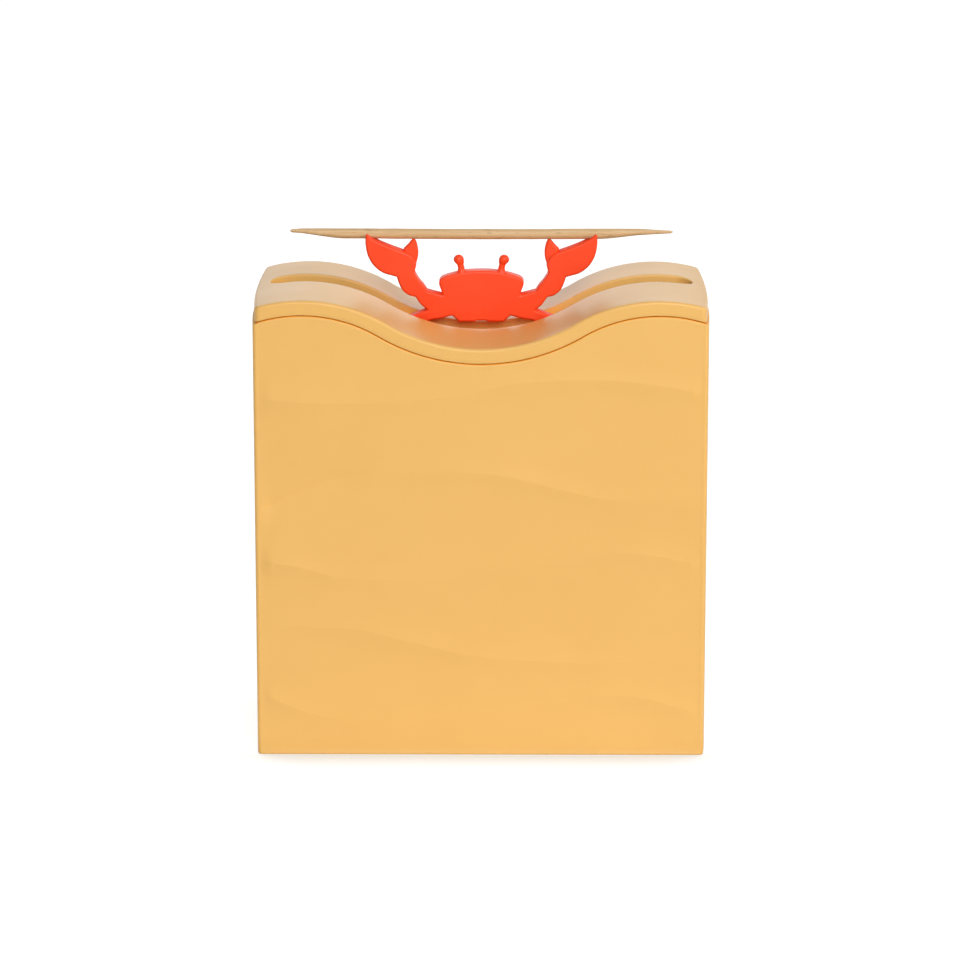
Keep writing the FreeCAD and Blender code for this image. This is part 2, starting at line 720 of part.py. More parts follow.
def make_rails():
    foot_inner = rail_outer - size["rail_foot_length"]
    half_rail = size["rail_width"] / 2
    half_head = size["head_width"] / 2
    for name, side in (("left", -1), ("right", 1)):
        body = new_body(f"guide_rail_{name}")
        start = rail_inner if side > 0 else -rail_outer
        strip = new_sketch(body, "strip", "YZ", start)
        add_polygon(strip, [
            (-half_rail, size["base_top"]), (half_rail, size["base_top"]),
            (half_rail, head_bottom), (half_head, head_bottom), (half_head, rail_top),
            (-half_head, rail_top), (-half_head, head_bottom), (-half_rail, head_bottom),
        ])
        grow(body, strip, size["rail_thickness"])
        foot = new_sketch(body, "foot", "XY", size["base_top"])
        low, high = (foot_inner, rail_outer) if side > 0 else (-rail_outer, -foot_inner)
        add_rectangle(foot, low, -half_rail, high, half_rail)
        grow(body, foot, size["rail_foot_height"])
        pilot = new_sketch(body, "pilot", "XY", size["base_top"])
        add_circle(pilot, rail_screw_x * side, 0, pilot_radius)
        depth = size["rail_foot_height"] - size["base_deck"] / 4
        carve(body, pilot, depth, "One side", up=True)


# Screws: a round head with a cross recess on a plain shank.

def make_screws(node, places, seat, upward):
    """One screw per place, its head's underside at seat, its shank up or down from there."""
    screws = []
    head_height = size["screw_head_height"]
    length = size["screw_length"]
    recess = size["recess_depth"]
    long = size["recess_length"] / 2
    thin = size["recess_width"] / 2
    for i, (x, y) in enumerate(places, start=1):
        name = f"{node}_{i}"
        head_low = seat - head_height if upward else seat
        shank_low = seat if upward else seat - length
        face = head_low if upward else head_low + head_height - recess
        head = make_rod(f"{name}_head", size["screw_head"] / 2, head_height, x, y, head_low)
        shank = make_rod(f"{name}_shank", screw_radius, length, x, y, shank_low)
        at_x = as_size(x)
        at_y = as_size(y)
        bars = []
        for j, (half_x, half_y) in enumerate(((long, thin), (thin, long)), start=1):
            low = (at_x - half_x, at_y - half_y, face)
            high = (at_x + half_x, at_y + half_y, face + recess)
            bars.append(make_box(f"{name}_bar_{j}", low, high))
        whole = fuse(f"{name}_whole", [head, shank])
        screws.append(cut(name, whole, fuse(f"{name}_cross", bars)))
    group = doc.addObject("Part::Compound", node)
    group.Links = screws
    keep_node(group, node)


def make_all_screws():
    shelf_bottom = size["shelf_top"] - size["shelf_thickness"]
    cover_seat = size["base_lift"] + size["counterbore"]
    cover_places = mirrored_places(size["cover_screw_spacing"], cover_screw_y)
    lifter_places = side_places(size["lifter_screw_spacing"], lifter_screw_y)
    rail_places = side_places(rail_screw_x, 0)
    shelf_places = mirrored_places(size["shelf_spacing"], shelf_y)
    make_screws("hopper_screws", shelf_places, shelf_bottom, True)
    make_screws("cover_screws", cover_places, cover_seat, True)
    make_screws("lifter_screws", lifter_places, flange_top, False)
    make_screws("rail_screws", rail_places, cavity_top, True)


# Crab lifter: the flat crab, its stem and the stem's foot, moulded in one.

# Right half of the crab's outline, from the middle of its belly round to the top of its head.
# Two points are joined by a straight line, more by a smooth curve, and runs meet at corners.
# Distances are from the crab's centre line and from the underside of its body, on a crab whose
# claws reach 19.7 mm out and 15.2 mm up.
OUTLINE_REACH = 19.7
OUTLINE_HEIGHT = 15.2
OUTLINE = {
    "belly_arch": [(0, 0.15), (1.1, 0)],
    "belly": [(1.1, 0), (3.8, 0)],
    "hip": [(3.8, 0), (5.0, 1.05)],
    "leg_underside": [(5.0, 1.05), (7.1, 0.5), (8.75, 0.2), (10.4, -0.9), (11.2, -3.1)],
    "leg_end": [(11.2, -3.1), (16.2, -3.1)],
    "leg_top": [(16.2, -3.1), (15.9, -1.2), (14.3, 0.2), (11.8, 1.1), (9.6, 1.75), (8.95, 2.05)],
    "upper_arm_below": [(8.95, 2.05), (9.5, 2.45), (10.2, 3.0), (10.75, 3.65), (11.1, 4.25)],
    "forearm_below": [
        (11.1, 4.25), (12.25, 4.5), (13.0, 5.05), (13.5, 5.65), (14.0, 6.75), (14.35, 7.75)],
    "claw_back": [
        (14.35, 7.75), (16.3, 8.3), (17.35, 8.95), (18.1, 9.65), (18.65, 10.35), (19.3, 11.6),
        (19.65, 13.2), (19.6, 15.2)],
    "claw_edge": [(19.6, 15.2), (18.7, 14.35), (17.2, 13.6), (15.0, 12.75), (13.2, 12.15)],
    "claw_ridge": [(13.2, 12.15), (12.1, 11.6), (11.4, 10.8), (11.1, 9.8)],
    "wrist": [(11.1, 9.8), (11.5, 8.6)],
    "forearm_above": [(11.5, 8.6), (10.75, 7.1), (10.1, 6.3), (9.45, 5.25)],
    "upper_arm_above": [(9.45, 5.25), (8.2, 5.0), (6.45, 4.65)],
    "shell_side": [
        (6.45, 4.65), (6.65, 5.6), (7.0, 6.2), (7.2, 7.0), (6.9, 7.6), (6.2, 7.85),
        (4.2, 8.5), (2.8, 8.75), (0, 8.87)],
}
PINCER = {
    "outer": [(13.2, 12.5), (11.45, 14.3)],
    "inner": [(11.45, 14.3), (11.0, 13.7), (10.75, 12.7), (10.7, 11.9), (10.8, 11.0), (11.2, 9.7)],
    "root": [(11.2, 9.7), (13.2, 10.6)],
    "close": [(13.2, 10.6), (13.2, 12.5)],
}
EYE_CENTRE = (3.87, 10.7)
EYE_RADIUS = 0.87
STALK = [(2.75, 8.3), (4.0, 8.3), (3.9, 9.4), (4.4, 10.3), (3.3, 10.3), (2.95, 9.4)]


def figure_point(x, rise, side=1):
    """A point of the crab's drawing, at the crab's real size and place, on its front face."""
    across = x * size["claw_reach"].value / OUTLINE_REACH
    up = rise * size["figure_height"].value / OUTLINE_HEIGHT
    return V(side * across, plate_front.value, body_height.value + up)


def run_edge(points):
    if len(points) == 2:
        return Part.makeLine(*points)
    curve = Part.BSplineCurve()
    curve.interpolate(points)
    return curve.toShape()


def slab_from(edges, front, thickness):
    """Thicken a closed outline that lies on the crab's front face."""
    wire = Part.Wire(Part.__sortEdges__(edges))
    slab = Part.Face(wire).extrude(V(0, thickness, 0))
    slab.translate(V(0, front - plate_front.value, 0))
    return slab


def make_figure_shape():
    thickness = size["plate_thickness"].value
    recess = size["pincer_recess"].value
    edges = []
    for side in (1, -1):
        for run in OUTLINE.values():
            edges.append(run_edge([figure_point(x, rise, side) for x, rise in run]))
    pieces = [slab_from(edges, plate_front.value, thickness)]
    eye_radius = EYE_RADIUS * size["claw_reach"].value / OUTLINE_REACH
    for side in (1, -1):
        runs = [run_edge([figure_point(x, rise, side) for x, rise in run]) for run in PINCER.values()]
        pieces.append(slab_from(runs, plate_front.value + recess, thickness - 2 * recess))
        corners = [figure_point(x, rise, side) for x, rise in STALK]
        count = len(corners)
        stalk = [Part.makeLine(corners[i], corners[(i + 1) % count]) for i in range(count)]
        pieces.append(slab_from(stalk, plate_front.value, 1.5 * eye_radius))
        centre = figure_point(*EYE_CENTRE, side) + V(0, eye_radius, 0)
        pieces.append(Part.makeSphere(eye_radius, centre))
    return pieces[0].fuse(pieces[1:]).removeSplitter()


def make_lifter():
    figure = doc.addObject("Part::Feature", "crab_figure")
    figure.Shape = make_figure_shape()
    stem_x = size["stem_half_width"]
    stem_top = body_height - size["stem_drop"]
    stem = make_box("stem", (-stem_x, plate_front, size["base_top"]), (stem_x, plate_back, stem_top))
    flange = make_box(
        "stem_foot", (-stem_x, flange_front, size["base_top"]), (stem_x, plate_back, flange_top))
    whole = fuse("lifter_whole", [figure, stem, flange])

    groove_radius = pick_radius + size["groove_play"]
    groove = doc.addObject("Part::Cylinder", "groove_round")
    bind(groove, "Radius", groove_radius)
    bind(groove, "Height", size["claw_reach"] * 4)
    groove.Placement = FreeCAD.Placement(V(0, 0, 0), FreeCAD.Rotation(V(0, 1, 0), 90))
    move(groove, size["claw_reach"] * -2, size["slot_offset"], pick_height)
    mouth = make_box(
        "groove_mouth",
        (size["claw_reach"] * -2, size["slot_offset"] - groove_radius, pick_height),
        (size["claw_reach"] * 2, size["slot_offset"] + groove_radius, above_all))
    tools = [groove, mouth]
    places = side_places(size["lifter_screw_spacing"], lifter_screw_y)
    below = size["base_top"] - size["flange_thickness"] / 2
    for i, (x, y) in enumerate(places, start=1):
        height = size["flange_thickness"] * 2
        tools.append(make_rod(f"stem_hole_{i}", clear_radius, height, x, y, below))
    keep_node(cut("crab_lifter", whole, fuse("lifter_tools", tools)), "crab_lifter")


# Toothpicks: one held in the claws, and a stock that lies in the hopper.

def make_served_pick():
    body = new_body("toothpick_served")
    sketch = new_sketch(body, "profile", "XZ")
    shoulder = pick_end - size["pick_taper"]
    tip = size["pick_tip"] / 2
    add_polygon(sketch, [
        (-pick_end, 0), (pick_end, 0), (pick_end, tip), (shoulder, pick_radius),
        (-shoulder, pick_radius), (-pick_end, tip),
    ])
    turned = body.newObject("PartDesign::Revolution", "toothpick_turned")
    turned.Profile = sketch
    turned.ReferenceAxis = (sketch, ["H_Axis"])
    turned.Angle = 360
    body.Tip = turned
    bind(body, "Placement.Base.y", size["slot_offset"])
    bind(body, "Placement.Base.z", pick_height + size["groove_play"])
    doc.recompute()
    return turned.Shape.copy()


def stock_places(side):
    """Axes (y, z) of toothpicks that lie in rows on one slope, side -1 in front, +1 behind."""
    slope = math.radians(size["trough_slope"].value)
    play = size["pick_play"].value
    pitch = size["pick_diameter"].value + play
    start = trough_back.value if side > 0 else trough_front.value
    clear = size["plate_thickness"].value / 2 + size["trough_gap"].value + pick_radius.value
    wall = tray_y.value - pick_radius.value - play
    row_rise = pitch * math.sin(math.pi / 3)
    top = size["stock_top"].value
    rows = int((top - size["trough_height"].value) / (row_rise * math.cos(slope))) + 1
    along = int(2 * tray_y.value / pitch) + 1
    places = []
    for row in range(rows):
        lift = pick_radius.value + play + row * row_rise
        for i in range(along):
            run = (i + (row % 2) / 2) * pitch
            y = start + side * (run * math.cos(slope) - lift * math.sin(slope))
            z = size["trough_height"].value + run * math.sin(slope) + lift * math.cos(slope)
            off_stem = (y - size["slot_offset"].value) * side >= clear
            if off_stem and abs(y) <= wall and z <= top:
                places.append((y, z))
    return places


def make_stock(pick):
    for name, side in (("front", -1), ("back", 1)):
        stock = doc.addObject("Part::Feature", f"toothpick_stock_{name}")
        copies = []
        for y, z in stock_places(side):
            copy = pick.copy()
            copy.translate(V(0, y, z))
            copies.append(copy)
        stock.Shape = Part.Compound(copies)
        keep_node(stock, f"toothpick_stock_{name}")


def write_parts():
    doc.recompute()
    for item in doc.Objects:
        if "Invalid" in item.State or "Error" in item.State:
            raise RuntimeError(f"{item.Label} failed: {item.State}")
    os.makedirs("parts", exist_ok=True)
    for node in nodes:
        shape = node.Shape
        if shape.isNull() or not shape.isValid():
            raise RuntimeError(f"{node.Label} has no valid shape")
        print(f"{node.Label}: {len(shape.Solids)} solids, {shape.Volume:.1f} mm3")
        shape.exportStep(f"parts/{node.Label}.step")
    print(f"stroke {stroke.value:.2f} mm, toothpick {2 * pick_end.value:.2f} mm")


make_case()
make_lid()
make_tray()
make_base()
make_cover()
make_ballast()
make_pads()
make_rails()
make_all_screws()
make_lifter()
make_stock(make_served_pick())
write_parts()
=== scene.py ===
import math
import random

import bmesh
import bpy
from mathutils import Matrix, Vector


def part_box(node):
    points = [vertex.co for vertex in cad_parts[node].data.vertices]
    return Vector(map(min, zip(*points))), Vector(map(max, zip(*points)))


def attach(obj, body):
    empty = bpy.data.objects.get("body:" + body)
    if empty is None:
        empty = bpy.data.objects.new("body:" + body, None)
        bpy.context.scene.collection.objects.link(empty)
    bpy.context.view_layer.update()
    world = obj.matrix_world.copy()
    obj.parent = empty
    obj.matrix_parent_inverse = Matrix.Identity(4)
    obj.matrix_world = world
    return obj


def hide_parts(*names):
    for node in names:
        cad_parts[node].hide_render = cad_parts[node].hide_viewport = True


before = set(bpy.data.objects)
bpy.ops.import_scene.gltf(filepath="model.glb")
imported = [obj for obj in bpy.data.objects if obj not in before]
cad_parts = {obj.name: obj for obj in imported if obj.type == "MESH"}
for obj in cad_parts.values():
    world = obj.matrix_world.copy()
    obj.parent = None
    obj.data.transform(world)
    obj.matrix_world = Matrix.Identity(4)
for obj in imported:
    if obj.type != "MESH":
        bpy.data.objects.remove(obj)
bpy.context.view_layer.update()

# Everything is in metres: X along the front, Y from the front to the back, Z up from the table.
MM = 0.001

# The case and its lid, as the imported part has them.
case_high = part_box("case_shell")[1]
END_BULGE = 0.7 * MM
CORNER_RADIUS = 0.9 * MM
HALF_WIDTH = case_high.x - END_BULGE
HALF_DEPTH = case_high.y
CREST_HEIGHT = case_high.z
CASE_WALL = 1.6 * MM
INNER_X = HALF_WIDTH - CASE_WALL
INNER_Y = HALF_DEPTH - CASE_WALL
INNER_CORNER = 0.3 * MM
FOOT_ROUND = 0.25 * MM
RIM_ROUND = 0.28 * MM
WAVE_DEPTH = 8.2 * MM
HUMP_SPACING = 29.8 * MM
HUMP_RADIUS = 24.9 * MM
LID_THICKNESS = 2.6 * MM
LID_GAP = 0.15 * MM
LID_INSET = 0.3 * MM
LID_FRONT_INSET = 0.4 * MM
LID_ROUND = 0.5 * MM
LID_LOWER_ROUND = 0.16 * MM
SLOT_ROUND = 0.3 * MM
SLOT_END = HALF_WIDTH - 1.95 * MM
SLOT_HALF = 5.75 / 2 * MM
SLOT_Y = 2.4 * MM
SKIRT_BOTTOM = CREST_HEIGHT - WAVE_DEPTH - 3.4 * MM
SKIRT_GAP = 0.2 * MM
SKIRT_WALL = 1.2 * MM
SKIRT_CORNER = 0.35 * MM
SHELF_X = 26.0 * MM
STOP_ROUND = 0.18 * MM

# The meshes of the CAD part are welded at this distance, and faces this flat are joined.
WELD_DISTANCE = 0.002 * MM
FLAT_ANGLE = 0.6

# Steps of the skins round the plan and up the walls.
FRONT_STEPS = 110
CORNER_STEPS = 8
END_STEPS = 24
BAND_STEPS = 12
ROUND_STEPS = 4
TOP_STEPS = 10

# The dunes in relief on the front and the back: along each line x, z in millimetres, and how
# far the dune stands out there. A negative one is a hollow.
DUNE_LINES = {
    "foot": [
        (-37.9, 11.5, 0.95), (-32, 8.4, 0.8), (-24, 6.1, 0.5), (-16, 5.6, 0.35), (-6, 6.7, 0.25),
        (4, 8.8, 0.2), (12, 9.9, 0.35), (21, 10.4, 0.7), (27, 10.2, 0.95), (37.9, 7.2, 0.6)],
    "low": [
        (-37.9, 22.6, 0.2), (-27, 22.4, 0.6), (-20, 21.9, 0.8), (-11, 19.7, 0.95),
        (-2, 17.6, 0.85), (6, 16.8, 0.8), (16, 16.3, 0.75), (24, 16.4, 0.5), (37.9, 17.3, 0.1)],
    "middle": [
        (-37.9, 34.0, 1.1), (-31, 33.1, 1.05), (-23, 31.1, 0.7), (-12, 31.0, 0.5),
        (-4, 31.9, 0.3), (6, 33.4, 0.25), (14, 34.7, 0.3), (22, 35.6, 0.6), (30, 34.9, 0.9),
        (37.9, 33.4, 0.6)],
    "high": [
        (-37.9, 42.6, -1.4), (-30, 46.0, -1.3), (-24, 48.3, -0.8), (-18, 49.1, 0.1),
        (-6, 49.6, 0.6), (2, 49.1, 0.95), (10, 47.4, 1.0), (20, 45.1, 0.9), (28, 44.6, 0.5),
        (37.9, 44.4, 0.1)],
    "crown": [
        (-37.9, 62.2, 0.75), (-28, 61.3, 0.7), (-14, 61.6, 0.55), (-4, 62.7, 0.6),
        (4, 64.4, 0.8), (14, 65.2, 0.8), (24, 65.1, 0.9), (37.9, 63.0, 1.0)],
}
DUNE_RELIEF = 0.36 * MM
DUNE_SPREAD = 1.7 * MM
DUNE_FADE = 1.7 * MM
DUNE_CREST_ROUND = 0.02
DUNE_CREST_LIFT = 0.14
WALL_SETBACK = DUNE_RELIEF * 1.15
FOOT_BLEND = 2 * MM
FOOT_SETBACK = 0.3

# The crab's plate, and the stem below it.
CLAW_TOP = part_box("crab_lifter")[1].z
PLATE_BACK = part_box("crab_lifter")[1].y
PLATE_FRONT = PLATE_BACK - 2.8 * MM
BODY_FOOT = CLAW_TOP - 15.2 * MM
STEM_TOP = BODY_FOOT - 2.6 * MM
STEM_ROUND = 0.2 * MM
PLATE_ROUND = 0.42 * MM
PINCER_RECESS = 0.5 * MM
GROOVE_STEPS = 12
GROOVE_REACH = 25 * MM
GROOVE_RADIUS = 0.95 * MM
GROOVE_AXIS = CLAW_TOP - 1.1 * MM + 0.9 * MM
OUTLINE_STEP = 0.17

# The right half of the crab, from the middle of its belly round to the top of its shell, and
# its right pincer: millimetres from the centre line and above the belly. Runs meet at corners.
CRAB_OUTLINE = [
    [(0, 0.17), (0.8, 0.17)],
    [(0.8, 0.17), (1.15, 0)],
    [(1.15, 0), (3.8, 0)],
    [(3.8, 0), (5.0, 1.05)],
    [(5.0, 1.05), (7.1, 0.5), (8.75, 0.2), (10.4, -0.9), (11.2, -2.65)],
    [(11.2, -2.65), (16.2, -2.65)],
    [(16.2, -2.65), (15.9, -1.2), (14.3, 0.2), (11.8, 1.1), (10.0, 1.75), (9.2, 2.05)],
    [(9.2, 2.05), (9.8, 2.5), (10.45, 3.12), (10.9, 3.8), (11.2, 4.25)],
    [(11.2, 4.25), (12.4, 4.6), (13.1, 5.1), (13.6, 5.7), (14.05, 6.7), (14.4, 7.75)],
    [(14.4, 7.75), (15.3, 8.0), (16.5, 8.35), (17.5, 8.95), (18.3, 9.7), (18.85, 10.5),
     (19.35, 11.6), (19.66, 13.2), (19.68, 14.5), (19.58, 15.0), (19.4, 15.16), (19.15, 14.98),
     (18.6, 14.5), (17.2, 13.72), (15.0, 12.82), (13.2, 12.15), (12.1, 11.6), (11.4, 10.8),
     (11.05, 9.8)],
    [(11.05, 9.8), (11.35, 8.6)],
    [(11.35, 8.6), (10.95, 7.8), (10.45, 7.05), (9.85, 6.35), (9.25, 5.4)],
    [(9.25, 5.4), (8.2, 5.1), (6.65, 4.7)],
    [(6.65, 4.7), (6.85, 5.5), (7.12, 6.2), (7.2, 6.85), (7.0, 7.35), (6.5, 7.72), (5.6, 8.05),
     (4.2, 8.42), (2.8, 8.7), (1.4, 8.83), (0, 8.87)],
]
PINCER_OUTLINE = [
    [(13.2, 10.6), (13.2, 12.5)],
    [(13.2, 12.5), (12.5, 13.2), (11.85, 13.95), (11.55, 14.22), (11.3, 14.05), (11.0, 13.5),
     (10.8, 12.7), (10.72, 11.9), (10.8, 11.0), (11.2, 9.7)],
    [(11.2, 9.7), (13.2, 10.6)],
]
EYE_PLACE = (3.85 * MM, 10.65 * MM)
EYE_RADIUS = 0.88 * MM
STALK_PATH = [(3.3, 8.2), (3.4, 9.0), (3.5, 9.6), (3.75, 10.2), (3.85, 10.65), (3.85, 11.6)]


# Shapes.

class Solid:
    """Points and faces of a piece while it is built."""

    def __init__(self):
        self.mesh = bmesh.new()

    def skin(self, rings, joined=False):
        """Skin rings of points one after another. Joined, the last meets the first."""
        rows = [[self.mesh.verts.new(point) for point in ring] for ring in rings]
        pairs = list(zip(rows, rows[1:]))
        if joined:
            pairs.append((rows[-1], rows[0]))
        else:
            self.mesh.faces.new(list(reversed(rows[0])))
            self.mesh.faces.new(rows[-1])
        for low, high in pairs:
            count = len(low)
            for i in range(count):
                j = (i + 1) % count
                self.mesh.faces.new((low[i], low[j], high[j], high[i]))

    def add(self, other):
        """Take in another solid, which stays a closed form of its own."""
        spare = bpy.data.meshes.new("spare")
        other.mesh.to_mesh(spare)
        other.mesh.free()
        self.mesh.from_mesh(spare)
        bpy.data.meshes.remove(spare)

    def soften(self, radius, steps=2, sharpest=35):
        """Round every outward edge that turns by more than sharpest degrees."""
        bmesh.ops.recalc_face_normals(self.mesh, faces=self.mesh.faces)
        edges = [
            edge for edge in self.mesh.edges
            if len(edge.link_faces) == 2 and edge.is_convex
            and edge.calc_face_angle(0) > math.radians(sharpest)]
        bmesh.ops.bevel(
            self.mesh, geom=edges, offset=radius, offset_type="OFFSET", segments=steps,
            profile=0.5, affect="EDGES", clamp_overlap=False)

    def piece(self, name, body, slot, material, replaced, smooth=32):
        """Finish as a Blender object that rides on a body and stands for CAD nodes."""
        data = bpy.data.meshes.new(name)
        bmesh.ops.recalc_face_normals(self.mesh, faces=self.mesh.faces)
        self.mesh.to_mesh(data)
        self.mesh.free()
        data.shade_smooth()
        data.set_sharp_from_angle(angle=math.radians(smooth))
        thing = bpy.data.objects.new(name, data)
        bpy.context.scene.collection.objects.link(thing)
        data.materials.append(material)
        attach(thing, body)
        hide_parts(*replaced)
        return thing


def wave_height(x, raised=0.0):
    """Height of the parting line, raised square to itself."""
    hump = HUMP_RADIUS + raised
    both = (HUMP_SPACING ** 2 + WAVE_DEPTH ** 2) / (2 * WAVE_DEPTH)
    saddle = both - hump
    x = abs(x)
    if x * both < HUMP_SPACING * saddle:
        return CREST_HEIGHT - WAVE_DEPTH + raised + saddle - math.sqrt(saddle ** 2 - x ** 2)
    over = hump ** 2 - (x - HUMP_SPACING) ** 2
    return CREST_HEIGHT - HUMP_RADIUS + math.sqrt(over)


def along(points, x, which):
    """A smooth curve through points, read at x."""
    x = max(points[0][0], min(points[-1][0], x))
    i = 0
    while i < len(points) - 2 and x > points[i + 1][0]:
        i += 1
    before, start, end, after = (
        points[max(i - 1, 0)], points[i], points[i + 1], points[min(i + 2, len(points) - 1)])
    run = end[0] - start[0]
    t = (x - start[0]) / run
    slope_in = (end[which] - before[which]) / (end[0] - before[0]) * run
    slope_out = (after[which] - start[which]) / (after[0] - start[0]) * run
    return (
        (2 * t ** 3 - 3 * t ** 2 + 1) * start[which] + (t ** 3 - 2 * t ** 2 + t) * slope_in
        + (3 * t ** 2 - 2 * t ** 3) * end[which] + (t ** 3 - t ** 2) * slope_out)


def ease(t):
    t = max(0.0, min(1.0, t))
    return t * t * (3 - 2 * t)


class Column:
    """One place round the plan: its point, the way out from it, and what it is part of."""

    def __init__(self, x, y, out_x, out_y, station, turn, side):
        self.x = x
        self.y = y
        self.out_x = out_x
        self.out_y = out_y
        self.station = station
        self.turn = turn
        self.side = side

    def at(self, inset, z):
        return (self.x - self.out_x * inset, self.y - self.out_y * inset, z)

    def turned(self):
        return Column(
            -self.x, -self.y, -self.out_x, -self.out_y, self.station, self.turn, self.side)


def plan_columns(half_x, half_y):
    """Columns round the case: straight front and back, shallow bowed ends, round corners.
    A half goes from the front left corner to the back right one, and the other is it turned."""
    bow = (half_y ** 2 + END_BULGE ** 2) / (2 * END_BULGE)
    middle = half_x + END_BULGE - bow
    corner_y = half_y - CORNER_RADIUS
    corner_x = middle + math.sqrt((bow - CORNER_RADIUS) ** 2 - corner_y ** 2)
    lean = math.atan2(corner_y, corner_x - middle)
    around = 2 * CORNER_STEPS + END_STEPS
    half = []
    for i in range(FRONT_STEPS):
        x = corner_x * (2 * i / FRONT_STEPS - 1)
        half.append(Column(x, -half_y, 0.0, -1.0, x, 0.0, 1.0))
    rank = 0
    for x, y, radius, start, end, steps in (
            (corner_x, -corner_y, CORNER_RADIUS, -math.pi / 2, -lean, CORNER_STEPS),
            (middle, 0.0, bow, -lean, lean, END_STEPS),
            (corner_x, corner_y, CORNER_RADIUS, lean, math.pi / 2, CORNER_STEPS)):
        for i in range(steps):
            turn = start + (end - start) * i / steps
            out_x, out_y = math.cos(turn), math.sin(turn)
            side = 0.0
            if steps == CORNER_STEPS:
                side = ease(1 - i / steps) if y < 0 else ease(i / steps)
            half.append(Column(
                x + radius * out_x, y + radius * out_y, out_x, out_y, corner_x,
                rank / around, side))
            rank += 1
    return half + [column.turned() for column in half], corner_x


def dune_height(column, name, corner_x):
    """Height of a dune line at a column. Round the ends it runs over to the other side's."""
    points = DUNE_LINES[name]
    here = along(points, column.station / MM, 1)
    there = along(points, -corner_x / MM, 1)
    return MM * (here + (there - here) * ease(column.turn))


def dune_relief(column, z, corner_x):
    """How far the dunes stand out from the wall at a height."""
    if column.turn > 0 or column.side < 1:
        return 0.0
    fade = ease((corner_x - abs(column.x)) / DUNE_FADE)
    total = 0.0
    for name, points in DUNE_LINES.items():
        away = abs(z - dune_height(column, name, corner_x)) / DUNE_SPREAD
        strength = along(points, column.station / MM, 2)
        total += strength * math.exp(
            -math.sqrt(away ** 2 + DUNE_CREST_ROUND) + DUNE_CREST_LIFT)
    return DUNE_RELIEF * fade * total


def case_skin():
    """Outer skin, rim, inner wall and foot of the case, as one closed form."""
    columns, corner_x = plan_columns(HALF_WIDTH, HALF_DEPTH)

    def skin_inset(column, z=CREST_HEIGHT):
        return WALL_SETBACK * column.side * ease(FOOT_SETBACK + z / FOOT_BLEND)

    rings = []
    for i in range(ROUND_STEPS + 1):
        turn = math.pi / 2 * i / ROUND_STEPS
        inset = FOOT_ROUND * (1 - math.sin(turn))
        z = FOOT_ROUND * (1 - math.cos(turn))
        rings.append([column.at(skin_inset(column, z) + inset, z) for column in columns])

    def level(column, name):
        if name == "start":
            return FOOT_ROUND
        if name == "rim":
            return wave_height(column.x) - RIM_ROUND
        return dune_height(column, name, corner_x)

    names = ["start", *DUNE_LINES, "rim"]
    for low, high in zip(names, names[1:]):
        for i in range(1, BAND_STEPS + 1):
            share = (1 - math.cos(math.pi * i / BAND_STEPS)) / 2
            ring = []
            for column in columns:
                bottom, top = level(column, low), level(column, high)
                z = bottom + (top - bottom) * share
                foot = ease((z - FOOT_ROUND) / FOOT_BLEND)
                relief = dune_relief(column, z, corner_x) * foot
                ring.append(column.at(skin_inset(column, z) - relief, z))
            rings.append(ring)
    for i in range(1, ROUND_STEPS + 1):
        turn = math.pi / 2 * i / ROUND_STEPS
        inset = RIM_ROUND * (1 - math.cos(turn))
        ring = []
        for column in columns:
            top = wave_height(column.x) - RIM_ROUND
            relief = dune_relief(column, top, corner_x) * (1 - i / ROUND_STEPS)
            ring.append(column.at(
                skin_inset(column) - relief + inset, top + RIM_ROUND * math.sin(turn)))
        rings.append(ring)

    inner = inner_columns(columns, corner_x, INNER_X, INNER_Y)
    for share in (0.5, 1.0):
        rings.append([
            raise_to_wave(between(column.at(0, 0), place, share))
            for column, place in zip(columns, inner)])
    top_ring = rings[-1]
    for share in (0.35, 0.7, 1.0):
        rings.append([(x, y, z * (1 - share)) for x, y, z in top_ring])
    solid = Solid()
    solid.skin(rings, joined=True)
    return solid


def inner_columns(columns, corner_x, inner_x, inner_y, radius=INNER_CORNER):
    """The place on an inner rectangle with small round corners that belongs to each column."""
    straight_x, straight_y = inner_x - radius, inner_y - radius
    places = []
    for column in columns:
        side_x, side_y = math.copysign(1, column.x), math.copysign(1, column.y)
        if column.turn == 0:
            place = (column.x / corner_x * straight_x, column.out_y * inner_y, 0.0)
        elif column.side > 0:
            place = (
                side_x * straight_x + radius * column.out_x,
                side_y * straight_y + radius * column.out_y, 0.0)
        else:
            share = max(-1.0, min(1.0, column.y / (HALF_DEPTH - CORNER_RADIUS)))
            place = (side_x * inner_x, share * straight_y, 0.0)
        places.append(place)
    return places


def between(start, end, share):
    return tuple(a + (b - a) * share for a, b in zip(start, end))


def raise_to_wave(place, raised=0.0):
    return (place[0], place[1], wave_height(place[0], raised))


